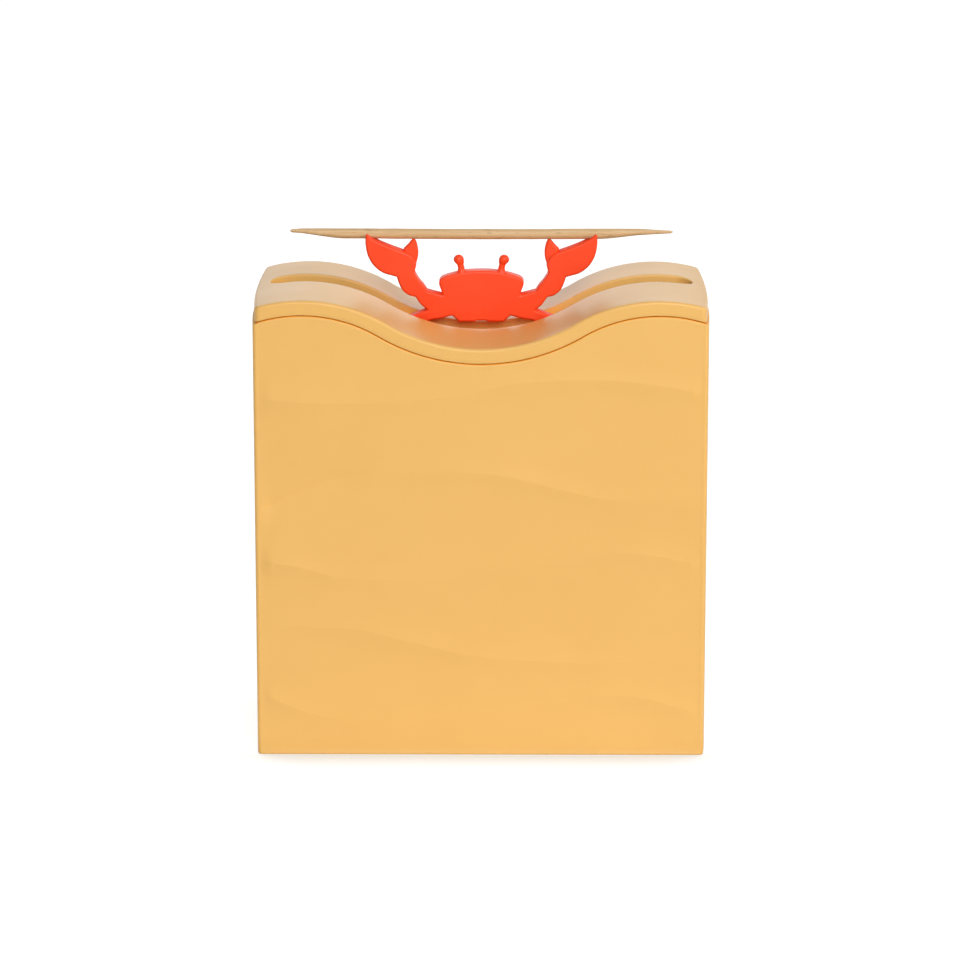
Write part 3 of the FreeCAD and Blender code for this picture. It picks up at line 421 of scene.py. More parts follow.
def drilled_shelf(x, side):
    """A shelf under the hopper, sunk a little into the wall, with its screw hole."""
    half, depth, hole = 4.0 * MM, 6.4 * MM, 1.3 * MM
    low_z, high_z = 37.0 * MM, 40.0 * MM
    wall = side * (INNER_Y + 0.5 * MM)
    edge = side * (INNER_Y - depth)
    centre_y = side * (INNER_Y - depth / 2)
    low_y, high_y = min(wall, edge), max(wall, edge)
    count = 40
    outer, inner = [], []
    for i in range(count):
        turn = 2 * math.pi * (i + 0.5) / count
        across, back = math.cos(turn), math.sin(turn)
        reach_x = half / max(abs(across), 1e-6)
        reach_y = ((high_y - centre_y) if back > 0 else (centre_y - low_y)) / max(abs(back), 1e-6)
        reach = min(reach_x, reach_y)
        outer.append((x + across * reach, centre_y + back * reach))
        inner.append((x + across * hole, centre_y + back * hole))
    for i, corner in enumerate(corner_steps(count, half, centre_y, low_y, high_y)):
        outer[corner[0]] = (x + corner[1], corner[2])
    solid = Solid()
    solid.skin([
        [(a, b, low_z) for a, b in outer], [(a, b, high_z) for a, b in outer],
        [(a, b, high_z) for a, b in inner], [(a, b, low_z) for a, b in inner]], joined=True)
    return solid


def corner_steps(count, half, centre_y, low_y, high_y):
    """Which steps round a shelf lie nearest to its four corners, and where those are."""
    found = []
    for across, y in ((half, high_y), (-half, high_y), (-half, low_y), (half, low_y)):
        turn = math.atan2(y - centre_y, across) % (2 * math.pi)
        found.append((int(turn / (2 * math.pi) * count) % count, across, y))
    return found


def stop_rib(side_x, side_y):
    """A stop lug and the upright rib above it, in the corner of a rail's run."""
    inner, outer = 34.6 * MM, INNER_X + 0.5 * MM
    profile = [(5.3, 10.5), (8.8, 10.5), (8.8, 62.0), (7.3, 62.0), (7.3, 16.5), (5.3, 16.5)]
    solid = Solid()
    rings = []
    for x in (inner, outer):
        rings.append([(side_x * x, side_y * y * MM, z * MM) for y, z in profile])
    solid.skin(rings)
    solid.soften(STOP_ROUND)
    return solid


def lid_skin():
    """The lid as one closed form: side, top, slot, underside and skirt."""
    columns, corner_x = plan_columns(HALF_WIDTH - LID_INSET, HALF_DEPTH - LID_FRONT_INSET)
    slot_straight = SLOT_END - SLOT_HALF
    slot = []
    for column in columns:
        if column.turn == 0:
            out_x, out_y = 0.0, column.out_y
            middle = column.x / corner_x * slot_straight
        else:
            side = math.copysign(1, column.x)
            turn = math.pi * (column.turn - 0.5)
            out_x, out_y = side * math.cos(turn), side * math.sin(turn)
            middle = side * slot_straight
        slot.append((middle + SLOT_HALF * out_x, SLOT_Y + SLOT_HALF * out_y, out_x, out_y))

    def slot_at(place, outset):
        x, y, out_x, out_y = place
        return (x + out_x * outset, y + out_y * outset, 0.0)

    def outer_at(column, inset, raised, drop):
        x, y, _ = column.at(inset, 0.0)
        return (x, y, wave_height(x, raised) - drop)

    rings = []
    for i in range(3):
        turn = math.pi / 2 * i / 2
        inset = LID_LOWER_ROUND * (1 - math.sin(turn))
        drop = -LID_LOWER_ROUND * (1 - math.cos(turn))
        rings.append([outer_at(column, inset, LID_GAP, drop) for column in columns])
    for share in (0.33, 0.66):
        raised = LID_GAP + (LID_THICKNESS - LID_GAP) * share
        rings.append([outer_at(column, 0.0, raised, 0.0) for column in columns])
    for i in range(2 * ROUND_STEPS + 1):
        turn = math.pi / 2 * i / (2 * ROUND_STEPS)
        inset = LID_ROUND * (1 - math.cos(turn))
        drop = LID_ROUND * (1 - math.sin(turn))
        rings.append([outer_at(column, inset, LID_THICKNESS, drop) for column in columns])
    for i in range(1, TOP_STEPS + 1):
        share = i / TOP_STEPS
        rings.append([
            raise_to_wave(
                between(column.at(LID_ROUND, 0.0), slot_at(place, SLOT_ROUND), share),
                LID_THICKNESS)
            for column, place in zip(columns, slot)])
    for i in range(1, ROUND_STEPS + 1):
        turn = math.pi / 2 * i / ROUND_STEPS
        outset = SLOT_ROUND * (1 - math.sin(turn))
        drop = SLOT_ROUND * (1 - math.cos(turn))
        ring = []
        for place in slot:
            x, y, z = slot_at(place, outset)
            ring.append((x, y, wave_height(x, LID_THICKNESS) - drop))
        rings.append(ring)
    rings.append([raise_to_wave(slot_at(place, 0.0), LID_GAP) for place in slot])
    hollow_x = INNER_X - SKIRT_GAP - SKIRT_WALL
    hollow_y = INNER_Y - SKIRT_GAP - SKIRT_WALL
    hollow = inner_columns(columns, corner_x, hollow_x, hollow_y)
    for share in (0.5, 1.0):
        rings.append([
            raise_to_wave(between(slot_at(place, 0.0), end, share), LID_GAP)
            for place, end in zip(slot, hollow)])
    skirt_x, skirt_y = INNER_X - SKIRT_GAP, INNER_Y - SKIRT_GAP
    skirt = inner_columns(columns, corner_x, skirt_x, skirt_y, SKIRT_CORNER)
    rings.append([(x, y, SKIRT_BOTTOM) for x, y, _ in hollow])
    rings.append([(x, y, SKIRT_BOTTOM) for x, y, _ in skirt])
    rings.append([raise_to_wave(place, LID_GAP) for place in skirt])
    solid = Solid()
    solid.skin(rings, joined=True)
    return solid


def node_copy(node):
    """The shape of a CAD node as a solid with joined points."""
    solid = Solid()
    solid.mesh.from_mesh(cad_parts[node].data)
    bmesh.ops.remove_doubles(solid.mesh, verts=solid.mesh.verts, dist=WELD_DISTANCE)
    return solid


def join_flat_faces(solid):
    bmesh.ops.dissolve_limit(
        solid.mesh, angle_limit=math.radians(FLAT_ANGLE), verts=solid.mesh.verts,
        edges=solid.mesh.edges, delimit=set())


def softened_copy(node, radius, steps):
    """The shape of a CAD node with its edges rounded as the mould leaves them."""
    solid = node_copy(node)
    join_flat_faces(solid)
    solid.soften(radius, steps)
    return solid


def keep_faces_flat(thing):
    """Shade the large flat faces flat and leave the turn to the rounded edges."""
    weights = thing.modifiers.new("flat_faces", "WEIGHTED_NORMAL")
    weights.keep_sharp = True


def drawn_line(runs):
    """Even points along the runs of a drawing, in metres."""
    line = []
    for run in runs:
        marks = [(0.0, *run[0])]
        for start, end in zip(run, run[1:]):
            marks.append((marks[-1][0] + math.dist(start, end), *end))
        length = marks[-1][0]
        count = max(1, round(length / OUTLINE_STEP))
        for i in range(count):
            station = length * i / count
            line.append((along(marks, station, 1) * MM, along(marks, station, 2) * MM))
    return line


def inward_ways(line):
    """At each point of a closed line, the way inward and how deep the line can be inset there."""
    count = len(line)
    points = [Vector(point) for point in line]
    ways = []
    for i in range(count):
        before = (points[i] - points[i - 1]).normalized()
        after = (points[(i + 1) % count] - points[i]).normalized()
        square = Vector((-before.y, before.x))
        way = square + Vector((-after.y, after.x))
        way = way / max(way.dot(square), 0.3)
        straight = way.normalized()
        room = PLATE_ROUND * 10
        for other in points:
            apart = other - points[i]
            ahead = apart.dot(straight)
            if ahead > 1e-7:
                room = min(room, apart.length_squared / (2 * ahead))
        ways.append((way, room))
    return ways


def rounded_plate(line, front, back):
    """A plate with a closed outline in X and Z, and with rounded front and back edges."""
    ways = inward_ways(line)
    steps = 5
    turns = [math.pi / 2 * i / steps for i in range(steps + 1)]
    sections = [(1 - math.sin(turn), front + PLATE_ROUND * (1 - math.cos(turn))) for turn in turns]
    sections += [
        (1 - math.sin(turn), back - PLATE_ROUND * (1 - math.cos(turn)))
        for turn in reversed(turns)]
    rings = []
    for inset, y in sections:
        ring = []
        for (x, z), (way, room) in zip(line, ways):
            depth = inset * min(PLATE_ROUND, 0.85 * room)
            ring.append((x + way.x * depth, y, BODY_FOOT + z + way.y * depth))
        rings.append(ring)
    solid = Solid()
    solid.skin(rings)
    return solid


def mirrored(line):
    return [(-x, z) for x, z in reversed(line)]


def eye_on_stalk(side):
    """A round eye that grows out of its slightly bent stalk."""
    centre_y = PLATE_FRONT + EYE_RADIUS
    foot, top = STALK_PATH[0][1] * MM, EYE_PLACE[1] + EYE_RADIUS
    flare_top, stalk_radius, flare_gain = 9.3 * MM, 0.56, 0.42
    neck, neck_run, least = 10.3 * MM, 0.7 * MM, 0.02 * MM
    steps, sides = 26, 24
    rings = []
    for i in range(steps + 1):
        rise = foot + (top - foot) * math.sin(math.pi / 2 * i / steps)
        x = along([(z, x) for x, z in STALK_PATH], rise / MM, 1) * MM
        flare = max(0.0, (flare_top - rise) / MM)
        thinned = 1 - ease((rise - neck) / neck_run)
        stalk = (stalk_radius + flare_gain * flare ** 2) * MM * thinned
        ball = math.sqrt(max(0.0, EYE_RADIUS ** 2 - (rise - EYE_PLACE[1]) ** 2))
        size = max((stalk ** 5 + ball ** 5) ** 0.2, least)
        rings.append([
            (side * (x + size * math.cos(2 * math.pi * j / sides)),
             centre_y + min(size, EYE_RADIUS) * math.sin(2 * math.pi * j / sides),
             BODY_FOOT + rise)
            for j in range(sides)])
    solid = Solid()
    solid.skin(rings)
    return solid


def grooved(solid):
    """Cut the groove for the toothpick along X, open at the top."""
    middle = (PLATE_FRONT + PLATE_BACK) / 2
    profile = [(middle + GROOVE_RADIUS, CLAW_TOP + MM)]
    for i in range(GROOVE_STEPS + 1):
        turn = math.pi * i / GROOVE_STEPS
        profile.append((
            middle + GROOVE_RADIUS * math.cos(turn),
            GROOVE_AXIS - GROOVE_RADIUS * math.sin(turn)))
    profile.append((middle - GROOVE_RADIUS, CLAW_TOP + MM))
    tool = Solid()
    tool.skin([[(x, y, z) for y, z in profile] for x in (-GROOVE_REACH, GROOVE_REACH)])
    bmesh.ops.recalc_face_normals(tool.mesh, faces=tool.mesh.faces)
    bmesh.ops.recalc_face_normals(solid.mesh, faces=solid.mesh.faces)
    things = []
    for name, form in (("blank", solid), ("groove_tool", tool)):
        data = bpy.data.meshes.new(name)
        form.mesh.to_mesh(data)
        form.mesh.free()
        things.append(bpy.data.objects.new(name, data))
        bpy.context.scene.collection.objects.link(things[-1])
    cut = things[0].modifiers.new("groove", "BOOLEAN")
    cut.operation = "DIFFERENCE"
    cut.solver = "EXACT"
    cut.object = things[1]
    sights = bpy.context.evaluated_depsgraph_get()
    result = bpy.data.meshes.new_from_object(things[0].evaluated_get(sights))
    grooved_solid = Solid()
    grooved_solid.mesh.from_mesh(result)
    bpy.data.meshes.remove(result)
    for thing in things:
        data = thing.data
        bpy.data.objects.remove(thing)
        bpy.data.meshes.remove(data)
    return grooved_solid


def crab_figure():
    """The crab with its pincers and eyes, on the stem and foot of the CAD part."""
    half = drawn_line(CRAB_OUTLINE) + [(0.0, CRAB_OUTLINE[-1][-1][1] * MM)]
    figure = grooved(rounded_plate(half + mirrored(half)[1:-1], PLATE_FRONT, PLATE_BACK))
    pincer = drawn_line(PINCER_OUTLINE)
    for line in (pincer, mirrored(pincer)):
        figure.add(grooved(rounded_plate(
            line, PLATE_FRONT + PINCER_RECESS, PLATE_BACK - PINCER_RECESS)))
    for side in (-1, 1):
        figure.add(eye_on_stalk(side))
    stem = node_copy("crab_lifter")
    everything = [*stem.mesh.verts, *stem.mesh.edges, *stem.mesh.faces]
    bmesh.ops.bisect_plane(
        stem.mesh, geom=everything, plane_co=(0, 0, STEM_TOP - 0.01 * MM), plane_no=(0, 0, 1),
        clear_outer=True)
    bmesh.ops.holes_fill(
        stem.mesh, edges=[edge for edge in stem.mesh.edges if edge.is_boundary], sides=0)
    join_flat_faces(stem)
    stem.soften(STEM_ROUND)
    figure.add(stem)
    return figure


def held_toothpick():
    """The toothpick in the claws: an uneven, slightly bowed rod. Its left end is blunter."""
    low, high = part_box("toothpick_served")
    centre = (low + high) / 2
    half_length = (high.x - low.x) / 2
    radius = (high.z - low.z) / 2
    tip_round, shoulder, sag, sag_reach = 0.12 * MM, 0.15, 0.08 * MM, 18 * MM
    evenness, unevenness = 0.968, 0.022
    chance = random.Random(7)
    waves = [(chance.uniform(150, 2400), chance.uniform(0, 6.28)) for i in range(8)]
    facets = [(chance.choice((2, 3, 5)), chance.uniform(0, 6.28)) for i in range(3)]
    sides, steps = 28, 220
    rings = []
    for i in range(steps + 1):
        x = half_length * (2 * i / steps - 1)
        from_tip = half_length - abs(x)
        taper, tip, lifted = (
            (8.3 * MM, 0.27 * MM, 0.45 * MM) if x < 0 else (11.6 * MM, 0.22 * MM, 0.33 * MM))
        share = from_tip / taper
        if share > 1 - shoulder:
            share = 1 - max(0.0, 1 + shoulder - share) ** 2 / (4 * shoulder)
        size = tip + (radius - tip) * share
        if from_tip < tip_round:
            size *= math.sqrt(max(0.0, 1 - (1 - from_tip / tip_round) ** 2)) * 0.7 + 0.3
        lift = min(lifted, 0.95 * (radius - size))
        lift -= sag * max(0.0, 1 - (x / sag_reach) ** 2)
        ring = []
        for j in range(sides):
            turn = 2 * math.pi * j / sides
            rough = 1.6 * sum(math.sin(x * f + p) for f, p in waves) / len(waves)
            rough += sum(math.sin(n * turn + p + x * 60) for n, p in facets) / len(facets)
            r = size * min(1.0, evenness + unevenness * rough)
            ring.append((
                centre.x + x, centre.y + r * math.cos(turn), centre.z + lift + r * math.sin(turn)))
        rings.append(ring)
    solid = Solid()
    solid.skin(rings)
    return solid


# Shader groups and materials.

def new_group(name, inputs, outputs):
    group = bpy.data.node_groups.new(name, "ShaderNodeTree")
    for label, amount in inputs:
        socket = group.interface.new_socket(label, in_out="INPUT", socket_type="NodeSocketFloat")
        socket.default_value = amount
    for label in outputs:
        group.interface.new_socket(label, in_out="OUTPUT", socket_type="NodeSocketFloat")
    return group, group.nodes.new("NodeGroupInput"), group.nodes.new("NodeGroupOutput")


def link(tree, start, end):
    tree.links.new(start, end)


def noise(tree, place, scale, detail, roughness=0.5):
    node = tree.nodes.new("ShaderNodeTexNoise")
    node.inputs["Detail"].default_value = detail
    node.inputs["Roughness"].default_value = roughness
    link(tree, place, node.inputs["Vector"])
    if isinstance(scale, (int, float)):
        node.inputs["Scale"].default_value = scale
    else:
        link(tree, scale, node.inputs["Scale"])
    return node.outputs["Fac"]


def spread(tree, value, low, high, to_low=0.0, to_high=1.0):
    """Map a range of a value onto another."""
    node = tree.nodes.new("ShaderNodeMapRange")
    for label, amount in (
            ("From Min", low), ("From Max", high), ("To Min", to_low), ("To Max", to_high)):
        node.inputs[label].default_value = amount
    link(tree, value, node.inputs["Value"])
    return node.outputs["Result"]


def blend_colours(tree, share, first, second):
    node = tree.nodes.new("ShaderNodeMix")
    node.data_type = "RGBA"
    link(tree, share, node.inputs[0])
    for socket, colour in ((node.inputs[6], first), (node.inputs[7], second)):
        if isinstance(colour, bpy.types.NodeSocket):
            link(tree, colour, socket)
        else:
            socket.default_value = (*colour, 1.0)
    return node.outputs[2]


def make_grain_group():
    """Soft patches and a fine mould grain, in the piece's own coordinates."""
    group, start, end = new_group(
        "moulded_grain", [("Patch Scale", 60.0), ("Grain Scale", 4000.0)], ["Patches", "Grain"])
    place = group.nodes.new("ShaderNodeTexCoord").outputs["Object"]
    patches = noise(group, place, start.outputs["Patch Scale"], 4.0, 0.6)
    grain = noise(group, place, start.outputs["Grain Scale"], 3.0, 0.65)
    link(group, spread(group, patches, 0.3, 0.7), end.inputs["Patches"])
    link(group, grain, end.inputs["Grain"])
    return group


def make_gap_group():
    """Mask for painted shade: where a surface lies in a gap, so that most light reaches it off
    its neighbours. The foot is left out, because the table's white light reaches it."""
    group, start, end = new_group("painted_gap_shade", [("Reach", 3.0 * MM)], ["Gap"])
    near = group.nodes.new("ShaderNodeAmbientOcclusion")
    near.samples = 8
    link(group, start.outputs["Reach"], near.inputs["Distance"])
    place = group.nodes.new("ShaderNodeSeparateXYZ")
    link(group, group.nodes.new("ShaderNodeTexCoord").outputs["Object"], place.inputs["Vector"])
    both = group.nodes.new("ShaderNodeMath")
    both.operation = "MULTIPLY"
    link(group, spread(group, near.outputs["AO"], 0.2, 0.95, 1.0, 0.0), both.inputs[0])
    link(group, spread(group, place.outputs["Z"], 4 * MM, 12 * MM), both.inputs[1])
    link(group, both.outputs["Value"], end.inputs["Gap"])
    return group


def make_fibre_group():
    """Long wood fibres along X, and short dark marks between them."""
    group, start, end = new_group(
        "wood_fibre", [("Fibre Scale", 1.0), ("Mark Share", 0.5)], ["Fibres", "Marks", "Tone"])
    place = group.nodes.new("ShaderNodeTexCoord").outputs["Object"]
    stretched = []
    for scale in ((90.0, 4200.0, 4200.0), (420.0, 2600.0, 2600.0), (30.0, 300.0, 300.0)):
        mapping = group.nodes.new("ShaderNodeMapping")
        mapping.inputs["Scale"].default_value = scale
        link(group, place, mapping.inputs["Vector"])
        stretched.append(mapping.outputs["Vector"])
    fibres = noise(group, stretched[0], start.outputs["Fibre Scale"], 4.0, 0.6)
    marks = noise(group, stretched[1], start.outputs["Fibre Scale"], 2.0, 0.5)
    tone = noise(group, stretched[2], start.outputs["Fibre Scale"], 2.0, 0.5)
    link(group, spread(group, fibres, 0.3, 0.7), end.inputs["Fibres"])
    strong = group.nodes.new("ShaderNodeMath")
    strong.operation = "MULTIPLY"
    link(group, spread(group, marks, 0.6, 0.78), strong.inputs[0])
    link(group, start.outputs["Mark Share"], strong.inputs[1])
    link(group, strong.outputs["Value"], end.inputs["Marks"])
    link(group, spread(group, tone, 0.35, 0.65), end.inputs["Tone"])
    return group


def make_plating_group():
    """Cloudy patches and fine brushed lines of plated steel."""
    group, start, end = new_group(
        "plated_steel", [("Cloud Scale", 900.0), ("Line Scale", 5000.0)], ["Clouds", "Lines"])
    place = group.nodes.new("ShaderNodeTexCoord").outputs["Object"]
    clouds = noise(group, place, start.outputs["Cloud Scale"], 3.0, 0.6)
    mapping = group.nodes.new("ShaderNodeMapping")
    mapping.inputs["Scale"].default_value = (1.0, 0.06, 1.0)
    link(group, place, mapping.inputs["Vector"])
    lines = noise(group, mapping.outputs["Vector"], start.outputs["Line Scale"], 2.0, 0.6)
    link(group, spread(group, clouds, 0.3, 0.7), end.inputs["Clouds"])
    link(group, lines, end.inputs["Lines"])
    return group


GRAIN = make_grain_group()
GAP = make_gap_group()
FIBRE = make_fibre_group()
PLATING = make_plating_group()
PATCH_ROUGHNESS = 0.03
GAP_ROUGHNESS = 0.95


def new_material(name, group, amounts):
    """A material with one shader group in it. Gives the material, its tree, both nodes."""
    material = bpy.data.materials.new(name)
    material.use_nodes = True
    tree = material.node_tree
    shader = tree.nodes["Principled BSDF"]
    effect = tree.nodes.new("ShaderNodeGroup")
    effect.node_tree = group
    for label, amount in amounts.items():
        effect.inputs[label].default_value = amount
    return material, tree, shader, effect


def add_bump(tree, height, shader, depth, strength=1.0):
    node = tree.nodes.new("ShaderNodeBump")
    node.inputs["Strength"].default_value = strength
    node.inputs["Distance"].default_value = depth
    link(tree, height, node.inputs["Height"])
    link(tree, node.outputs["Normal"], shader.inputs["Normal"])


def moulded_plastic(
        name, dull, bright, rough, patch=60.0, grain=4000.0, depth=0.01, sheen=0.3):
    """Moulded plastic: two near tones in soft patches, satin, with a fine grain. In gaps a
    deeper, more orange colour is painted in as painted shade, for light that goes through it
    and off it more than once there, and it turns matt."""
    material, tree, shader, effect = new_material(
        name, GRAIN, {"Patch Scale": patch, "Grain Scale": grain})
    patches = effect.outputs["Patches"]
    # Painted shade: where the gap mask is high, the base colour is mixed toward a deeper, more
    # orange colour.
    deep = tree.nodes.new("ShaderNodeGroup")
    deep.node_tree = GAP
    painted_deep_colour = (min(dull[0] * 1.2, 0.97), dull[1] * 0.9, dull[2] * 0.03)
    link(tree, blend_colours(
        tree, deep.outputs["Gap"], blend_colours(tree, patches, dull, bright), painted_deep_colour),
        shader.inputs["Base Color"])
    finish = tree.nodes.new("ShaderNodeMix")
    link(tree, deep.outputs["Gap"], finish.inputs[0])
    link(tree, spread(
        tree, patches, 0.0, 1.0, rough + PATCH_ROUGHNESS, rough - PATCH_ROUGHNESS),
        finish.inputs[2])
    finish.inputs[3].default_value = GAP_ROUGHNESS
    link(tree, finish.outputs[0], shader.inputs["Roughness"])
    add_bump(tree, effect.outputs["Grain"], shader, depth * MM, 0.5)
    shader.inputs["IOR"].default_value = 1.5
    shader.inputs["Specular IOR Level"].default_value = sheen
    return material


def pale_wood(name, pale, deep, marks, each=0.0):
    """Bare wood with long fibres. Each toothpick of a heap has a tone of its own."""
    material, tree, shader, effect = new_material(
        name, FIBRE, {"Fibre Scale": 1.0, "Mark Share": marks})
    colour = blend_colours(tree, effect.outputs["Fibres"], deep, pale)
    if each:
        island = tree.nodes.new("ShaderNodeNewGeometry").outputs["Random Per Island"]
        tone = spread(tree, island, 0.0, 1.0, 0.0, each)
    else:
        tone = spread(tree, effect.outputs["Tone"], 0.0, 1.0, 0.0, 0.35)
    colour = blend_colours(tree, tone, colour, deep)
    dark = tuple(part * 0.45 for part in deep)
    colour = blend_colours(tree, effect.outputs["Marks"], colour, dark)
    link(tree, colour, shader.inputs["Base Color"])
    link(tree, spread(tree, effect.outputs["Fibres"], 0.0, 1.0, 0.72, 0.58),
         shader.inputs["Roughness"])
    add_bump(tree, effect.outputs["Fibres"], shader, 0.03 * MM, 0.6)
    return material


def plated_steel(name, dull, bright, rough):
    material, tree, shader, effect = new_material(name, PLATING, {})
    shader.inputs["Metallic"].default_value = 1.0
    link(tree, blend_colours(tree, effect.outputs["Clouds"], dull, bright),
         shader.inputs["Base Color"])
    link(tree, spread(tree, effect.outputs["Clouds"], 0.0, 1.0, rough + 0.08, rough - 0.05),
         shader.inputs["Roughness"])
    add_bump(tree, effect.outputs["Lines"], shader, 0.005 * MM, 0.5)
    return material


sand_case = moulded_plastic("sand_case", (0.80, 0.457, 0.127), (0.82, 0.473, 0.135), 0.42)
sand_lid = moulded_plastic(
    "sand_lid", (0.80, 0.457, 0.127), (0.82, 0.473, 0.135), 0.30, sheen=0.28)
sand_base = moulded_plastic("sand_base", (0.74, 0.42, 0.120), (0.79, 0.455, 0.132), 0.45)
sand_cover = moulded_plastic(
    "sand_cover", (0.72, 0.41, 0.116), (0.78, 0.45, 0.13), 0.6, grain=2200.0, depth=0.05)
natural_hopper = moulded_plastic("natural_hopper", (0.76, 0.70, 0.57), (0.84, 0.78, 0.65), 0.38)
natural_rail = moulded_plastic("natural_rail", (0.76, 0.70, 0.57), (0.84, 0.78, 0.65), 0.3)
crab_red = moulded_plastic(
    "crab_red", (0.95, 0.060, 0.009), (0.98, 0.072, 0.015), 0.36, patch=90.0)
foot_rubber = moulded_plastic(
    "foot_rubber", (0.022, 0.022, 0.023), (0.045, 0.044, 0.043), 0.8, patch=900.0,
    grain=5000.0, depth=0.04)
held_wood = pale_wood("held_wood", (0.74, 0.53, 0.30), (0.58, 0.35, 0.155), 0.8)
heap_wood = pale_wood("heap_wood", (0.74, 0.54, 0.31), (0.56, 0.34, 0.16), 0.5, each=0.7)
ballast_zinc = plated_steel("ballast_zinc", (0.50, 0.51, 0.53), (0.66, 0.67, 0.68), 0.38)
screw_zinc = plated_steel("screw_zinc", (0.55, 0.55, 0.56), (0.72, 0.72, 0.72), 0.3)


# Pieces.

case = case_skin()
for side_y in (-1, 1):
    for side_x in (-1, 1):
        case.add(drilled_shelf(side_x * SHELF_X, side_y))
        case.add(stop_rib(side_x, side_y))
case.piece("case_dunes", "case", "sand_plastic", sand_case, ["case_shell"])
lid_skin().piece("lid_wave", "lid", "lid_plastic", sand_lid, ["lid"])

SOFTENED = (
    ("hopper_tray", "case", "tray_plastic", natural_hopper, 0.2, 2),
    ("base_plate", "base", "base_plastic", sand_base, 0.25, 2),
    ("base_cover", "base", "cover_plastic", sand_cover, 0.2, 2),
    ("ballast_plate", "base", "zinc_steel", ballast_zinc, 0.2, 2),
    ("guide_rail_left", "base", "rail_plastic", natural_rail, 0.2, 2),
    ("guide_rail_right", "base", "rail_plastic", natural_rail, 0.2, 2),
    ("foot_pad_front_left", "base", "pad_rubber", foot_rubber, 0.25, 3),
    ("foot_pad_back_left", "base", "pad_rubber", foot_rubber, 0.25, 3),
    ("foot_pad_front_right", "base", "pad_rubber", foot_rubber, 0.25, 3),
    ("foot_pad_back_right", "base", "pad_rubber", foot_rubber, 0.25, 3),
)
for node, body, slot_name, material, radius, steps in SOFTENED:
    thing = softened_copy(node, radius * MM, steps).piece(
        f"{node}_rounded", body, slot_name, material, [node], smooth=60)
    keep_faces_flat(thing)
keep_faces_flat(crab_figure().piece(
    "crab_figure", "base", "crab_plastic", crab_red, ["crab_lifter"], smooth=60))

held_toothpick().piece(
    "toothpick_held", "served_toothpick", "pick_wood", held_wood, ["toothpick_served"], 50)

KEPT = {
    "hopper_screws": screw_zinc,
    "cover_screws": screw_zinc,
    "lifter_screws": screw_zinc,
    "rail_screws": screw_zinc,
    "toothpick_stock_front": heap_wood,
    "toothpick_stock_back": heap_wood,
}
for node, material in KEPT.items():
    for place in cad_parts[node].material_slots:
        place.material = material


# Floor, light and camera.

TABLE_REACH = 6.0
TABLE_GLOW = (0.93, 0.93, 0.93)
# Colour of the painted shadow at the case's foot.
TABLE_PAINTED_SHADE = (0.42, 0.39, 0.33)
TABLE_SHADOW = (0.34, 0.34, 0.34, 1.0)
TABLE_PLAIN = (0.78, 0.78, 0.78, 1.0)
CONTACT_REACH = 13.0 * MM

# Name, place, point it looks at, width, depth of a rectangle, watts, and whether it shines in
# the plastic's sheen.
TABLE_CARD_Y = -HALF_DEPTH - 31 * MM
LAMPS = (
    ("key_front", (0.08, -0.74, 0.46), (0.0, 0.0, 0.05), 0.5, None, 4.4, True),
    ("high_right", (0.62, -0.25, 0.50), (0.0, 0.0, 0.06), 0.4, None, 2.2, True),
    ("sheen_back", (-0.05, 0.80, 0.44), (0.0, 0.0, 0.06), 0.6, None, 0.5, True),
    ("fill_back", (-0.22, 0.77, 0.036), (0.0, 0.0, 0.036), 0.5, 0.07, 2.5, False),
    ("table_card", (0.0, TABLE_CARD_Y, 0.4 * MM), (0.0, TABLE_CARD_Y, 1.0), 0.20, 0.06, 0.009,
     True),
)
WORLD_LEVEL = 0.20

CAMERA_PLACE = (5.061, -716.070, 224.599)
CAMERA_FORWARD = (-0.007158, 0.969547, -0.244800)
CAMERA_RIGHT = (0.99997, 0.00738, 0.0)
CAMERA_LENS = 161.3


def seen_by_eye(tree):
    """1 for what the camera sees straight, in a mirror or through glass."""
    path = tree.nodes.new("ShaderNodeLightPath")
    total = path.outputs["Is Camera Ray"]
    for label in ("Is Glossy Ray", "Is Transmission Ray"):
        both = tree.nodes.new("ShaderNodeMath")
        both.operation = "MAXIMUM"
        link(tree, total, both.inputs[0])
        link(tree, path.outputs[label], both.inputs[1])
        total = both.outputs["Value"]
    return total


def plain_diffuse(tree, colour):
    node = tree.nodes.new("ShaderNodeBsdfDiffuse")
    node.inputs["Color"].default_value = colour
    return node.outputs["BSDF"]


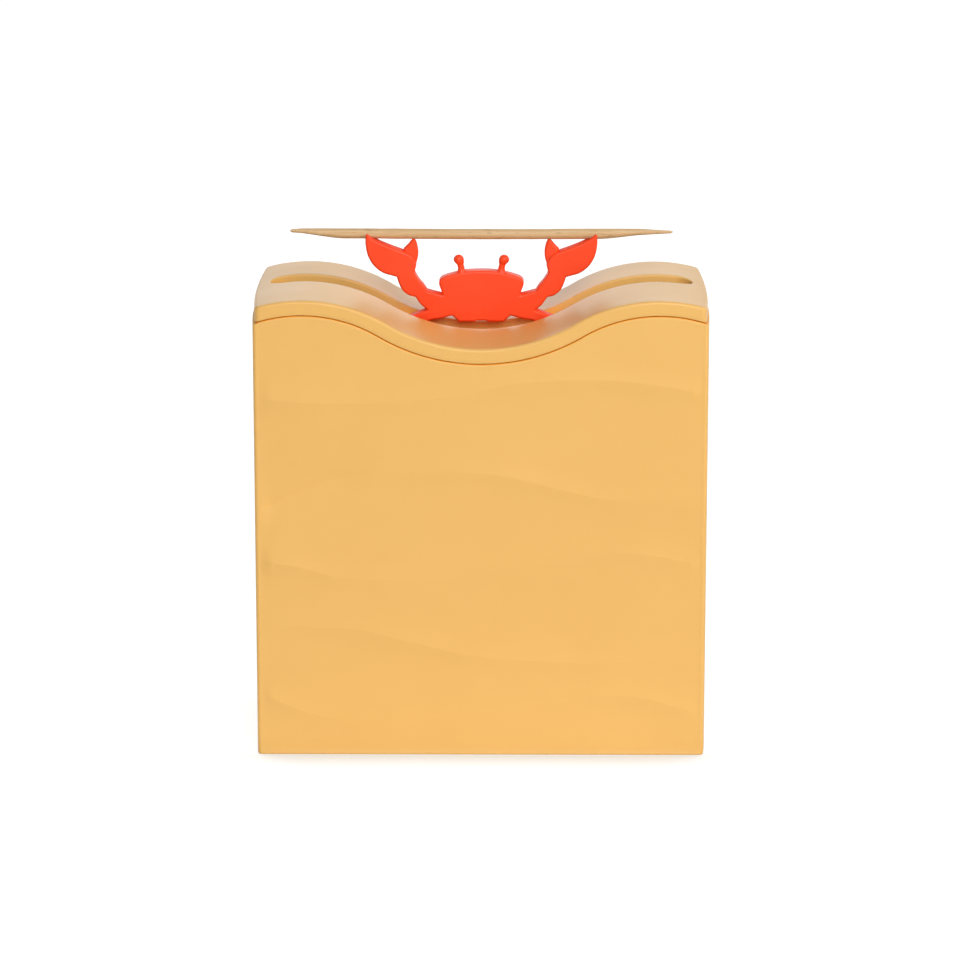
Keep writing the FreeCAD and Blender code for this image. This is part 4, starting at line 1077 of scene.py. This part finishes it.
def make_floor():
    """A pale table. What the camera sees of it is white, with a painted soft shadow at the case's
    foot.
    """
    data = bpy.data.meshes.new("table")
    data.from_pydata(
        [(-TABLE_REACH, -TABLE_REACH, 0), (TABLE_REACH, -TABLE_REACH, 0),
         (TABLE_REACH, TABLE_REACH, 0), (-TABLE_REACH, TABLE_REACH, 0)], [], [(0, 1, 2, 3)])
    table = bpy.data.objects.new("table", data)
    bpy.context.scene.collection.objects.link(table)
    material = bpy.data.materials.new("table_white")
    material.use_nodes = True
    tree = material.node_tree
    tree.nodes.remove(tree.nodes["Principled BSDF"])
    # Painted shadow: ambient occlusion mixes the white glow toward a darker colour near the case,
    # most strongly in front of its front face.
    near = tree.nodes.new("ShaderNodeAmbientOcclusion")
    near.inputs["Distance"].default_value = CONTACT_REACH
    place = tree.nodes.new("ShaderNodeSeparateXYZ")
    link(tree, tree.nodes.new("ShaderNodeTexCoord").outputs["Object"], place.inputs["Vector"])
    beside = spread(
        tree, place.outputs["Y"], -HALF_DEPTH - 0.5 * MM, -HALF_DEPTH + 1.5 * MM, 0.0, 0.85)
    painted_contact_shade = blend_colours(
        tree, spread(tree, near.outputs["AO"], 0.45, 0.98), TABLE_PAINTED_SHADE, TABLE_GLOW)
    glow = tree.nodes.new("ShaderNodeEmission")
    link(tree, blend_colours(tree, beside, painted_contact_shade, TABLE_GLOW), glow.inputs["Color"])
    glow.inputs["Strength"].default_value = 1.0
    seen = tree.nodes.new("ShaderNodeAddShader")
    link(tree, plain_diffuse(tree, TABLE_SHADOW), seen.inputs[0])
    link(tree, glow.outputs["Emission"], seen.inputs[1])
    pick = tree.nodes.new("ShaderNodeMixShader")
    link(tree, seen_by_eye(tree), pick.inputs["Fac"])
    link(tree, plain_diffuse(tree, TABLE_PLAIN), pick.inputs[1])
    link(tree, seen.outputs["Shader"], pick.inputs[2])
    link(tree, pick.outputs["Shader"], tree.nodes["Material Output"].inputs["Surface"])
    data.materials.append(material)


def make_world(level):
    """White behind everything, and a plain even light of its own level."""
    world = bpy.data.worlds.new("studio")
    bpy.context.scene.world = world
    world.use_nodes = True
    tree = world.node_tree
    sky = tree.nodes["Background"]
    sky.inputs["Color"].default_value = (1.0, 1.0, 1.0, 1.0)
    link(tree, spread(tree, seen_by_eye(tree), 0.0, 1.0, level, 1.0), sky.inputs["Strength"])


def add_lamp(name, place, aim, width, depth, power, in_sheen):
    """A round lamp, or a rectangle of a given depth. It lights, but the camera doesn't see it."""
    lamp = bpy.data.lights.new(name, "AREA")
    lamp.shape = "RECTANGLE" if depth else "DISK"
    lamp.size = width
    if depth:
        lamp.size_y = depth
    lamp.energy = power
    thing = bpy.data.objects.new(name, lamp)
    bpy.context.scene.collection.objects.link(thing)
    thing.visible_camera = False
    thing.visible_glossy = in_sheen
    thing.location = place
    way = Vector(aim) - Vector(place)
    thing.rotation_euler = way.to_track_quat("-Z", "Y").to_euler()


def make_camera():
    data = bpy.data.cameras.new("camera")
    data.sensor_fit = "HORIZONTAL"
    data.sensor_width = 36.0
    data.lens = CAMERA_LENS
    data.clip_start = 0.05
    data.clip_end = 20.0
    thing = bpy.data.objects.new("camera", data)
    bpy.context.scene.collection.objects.link(thing)
    forward = Vector(CAMERA_FORWARD).normalized()
    right = Vector(CAMERA_RIGHT).normalized()
    up = right.cross(forward).normalized()
    turn = Matrix((right, up, -forward)).transposed().to_4x4()
    turn.translation = Vector(CAMERA_PLACE) * MM
    thing.matrix_world = turn
    bpy.context.scene.camera = thing


make_floor()
make_world(WORLD_LEVEL)
for lamp_row in LAMPS:
    add_lamp(*lamp_row)
make_camera()
bpy.context.scene.view_settings.view_transform = "Standard"
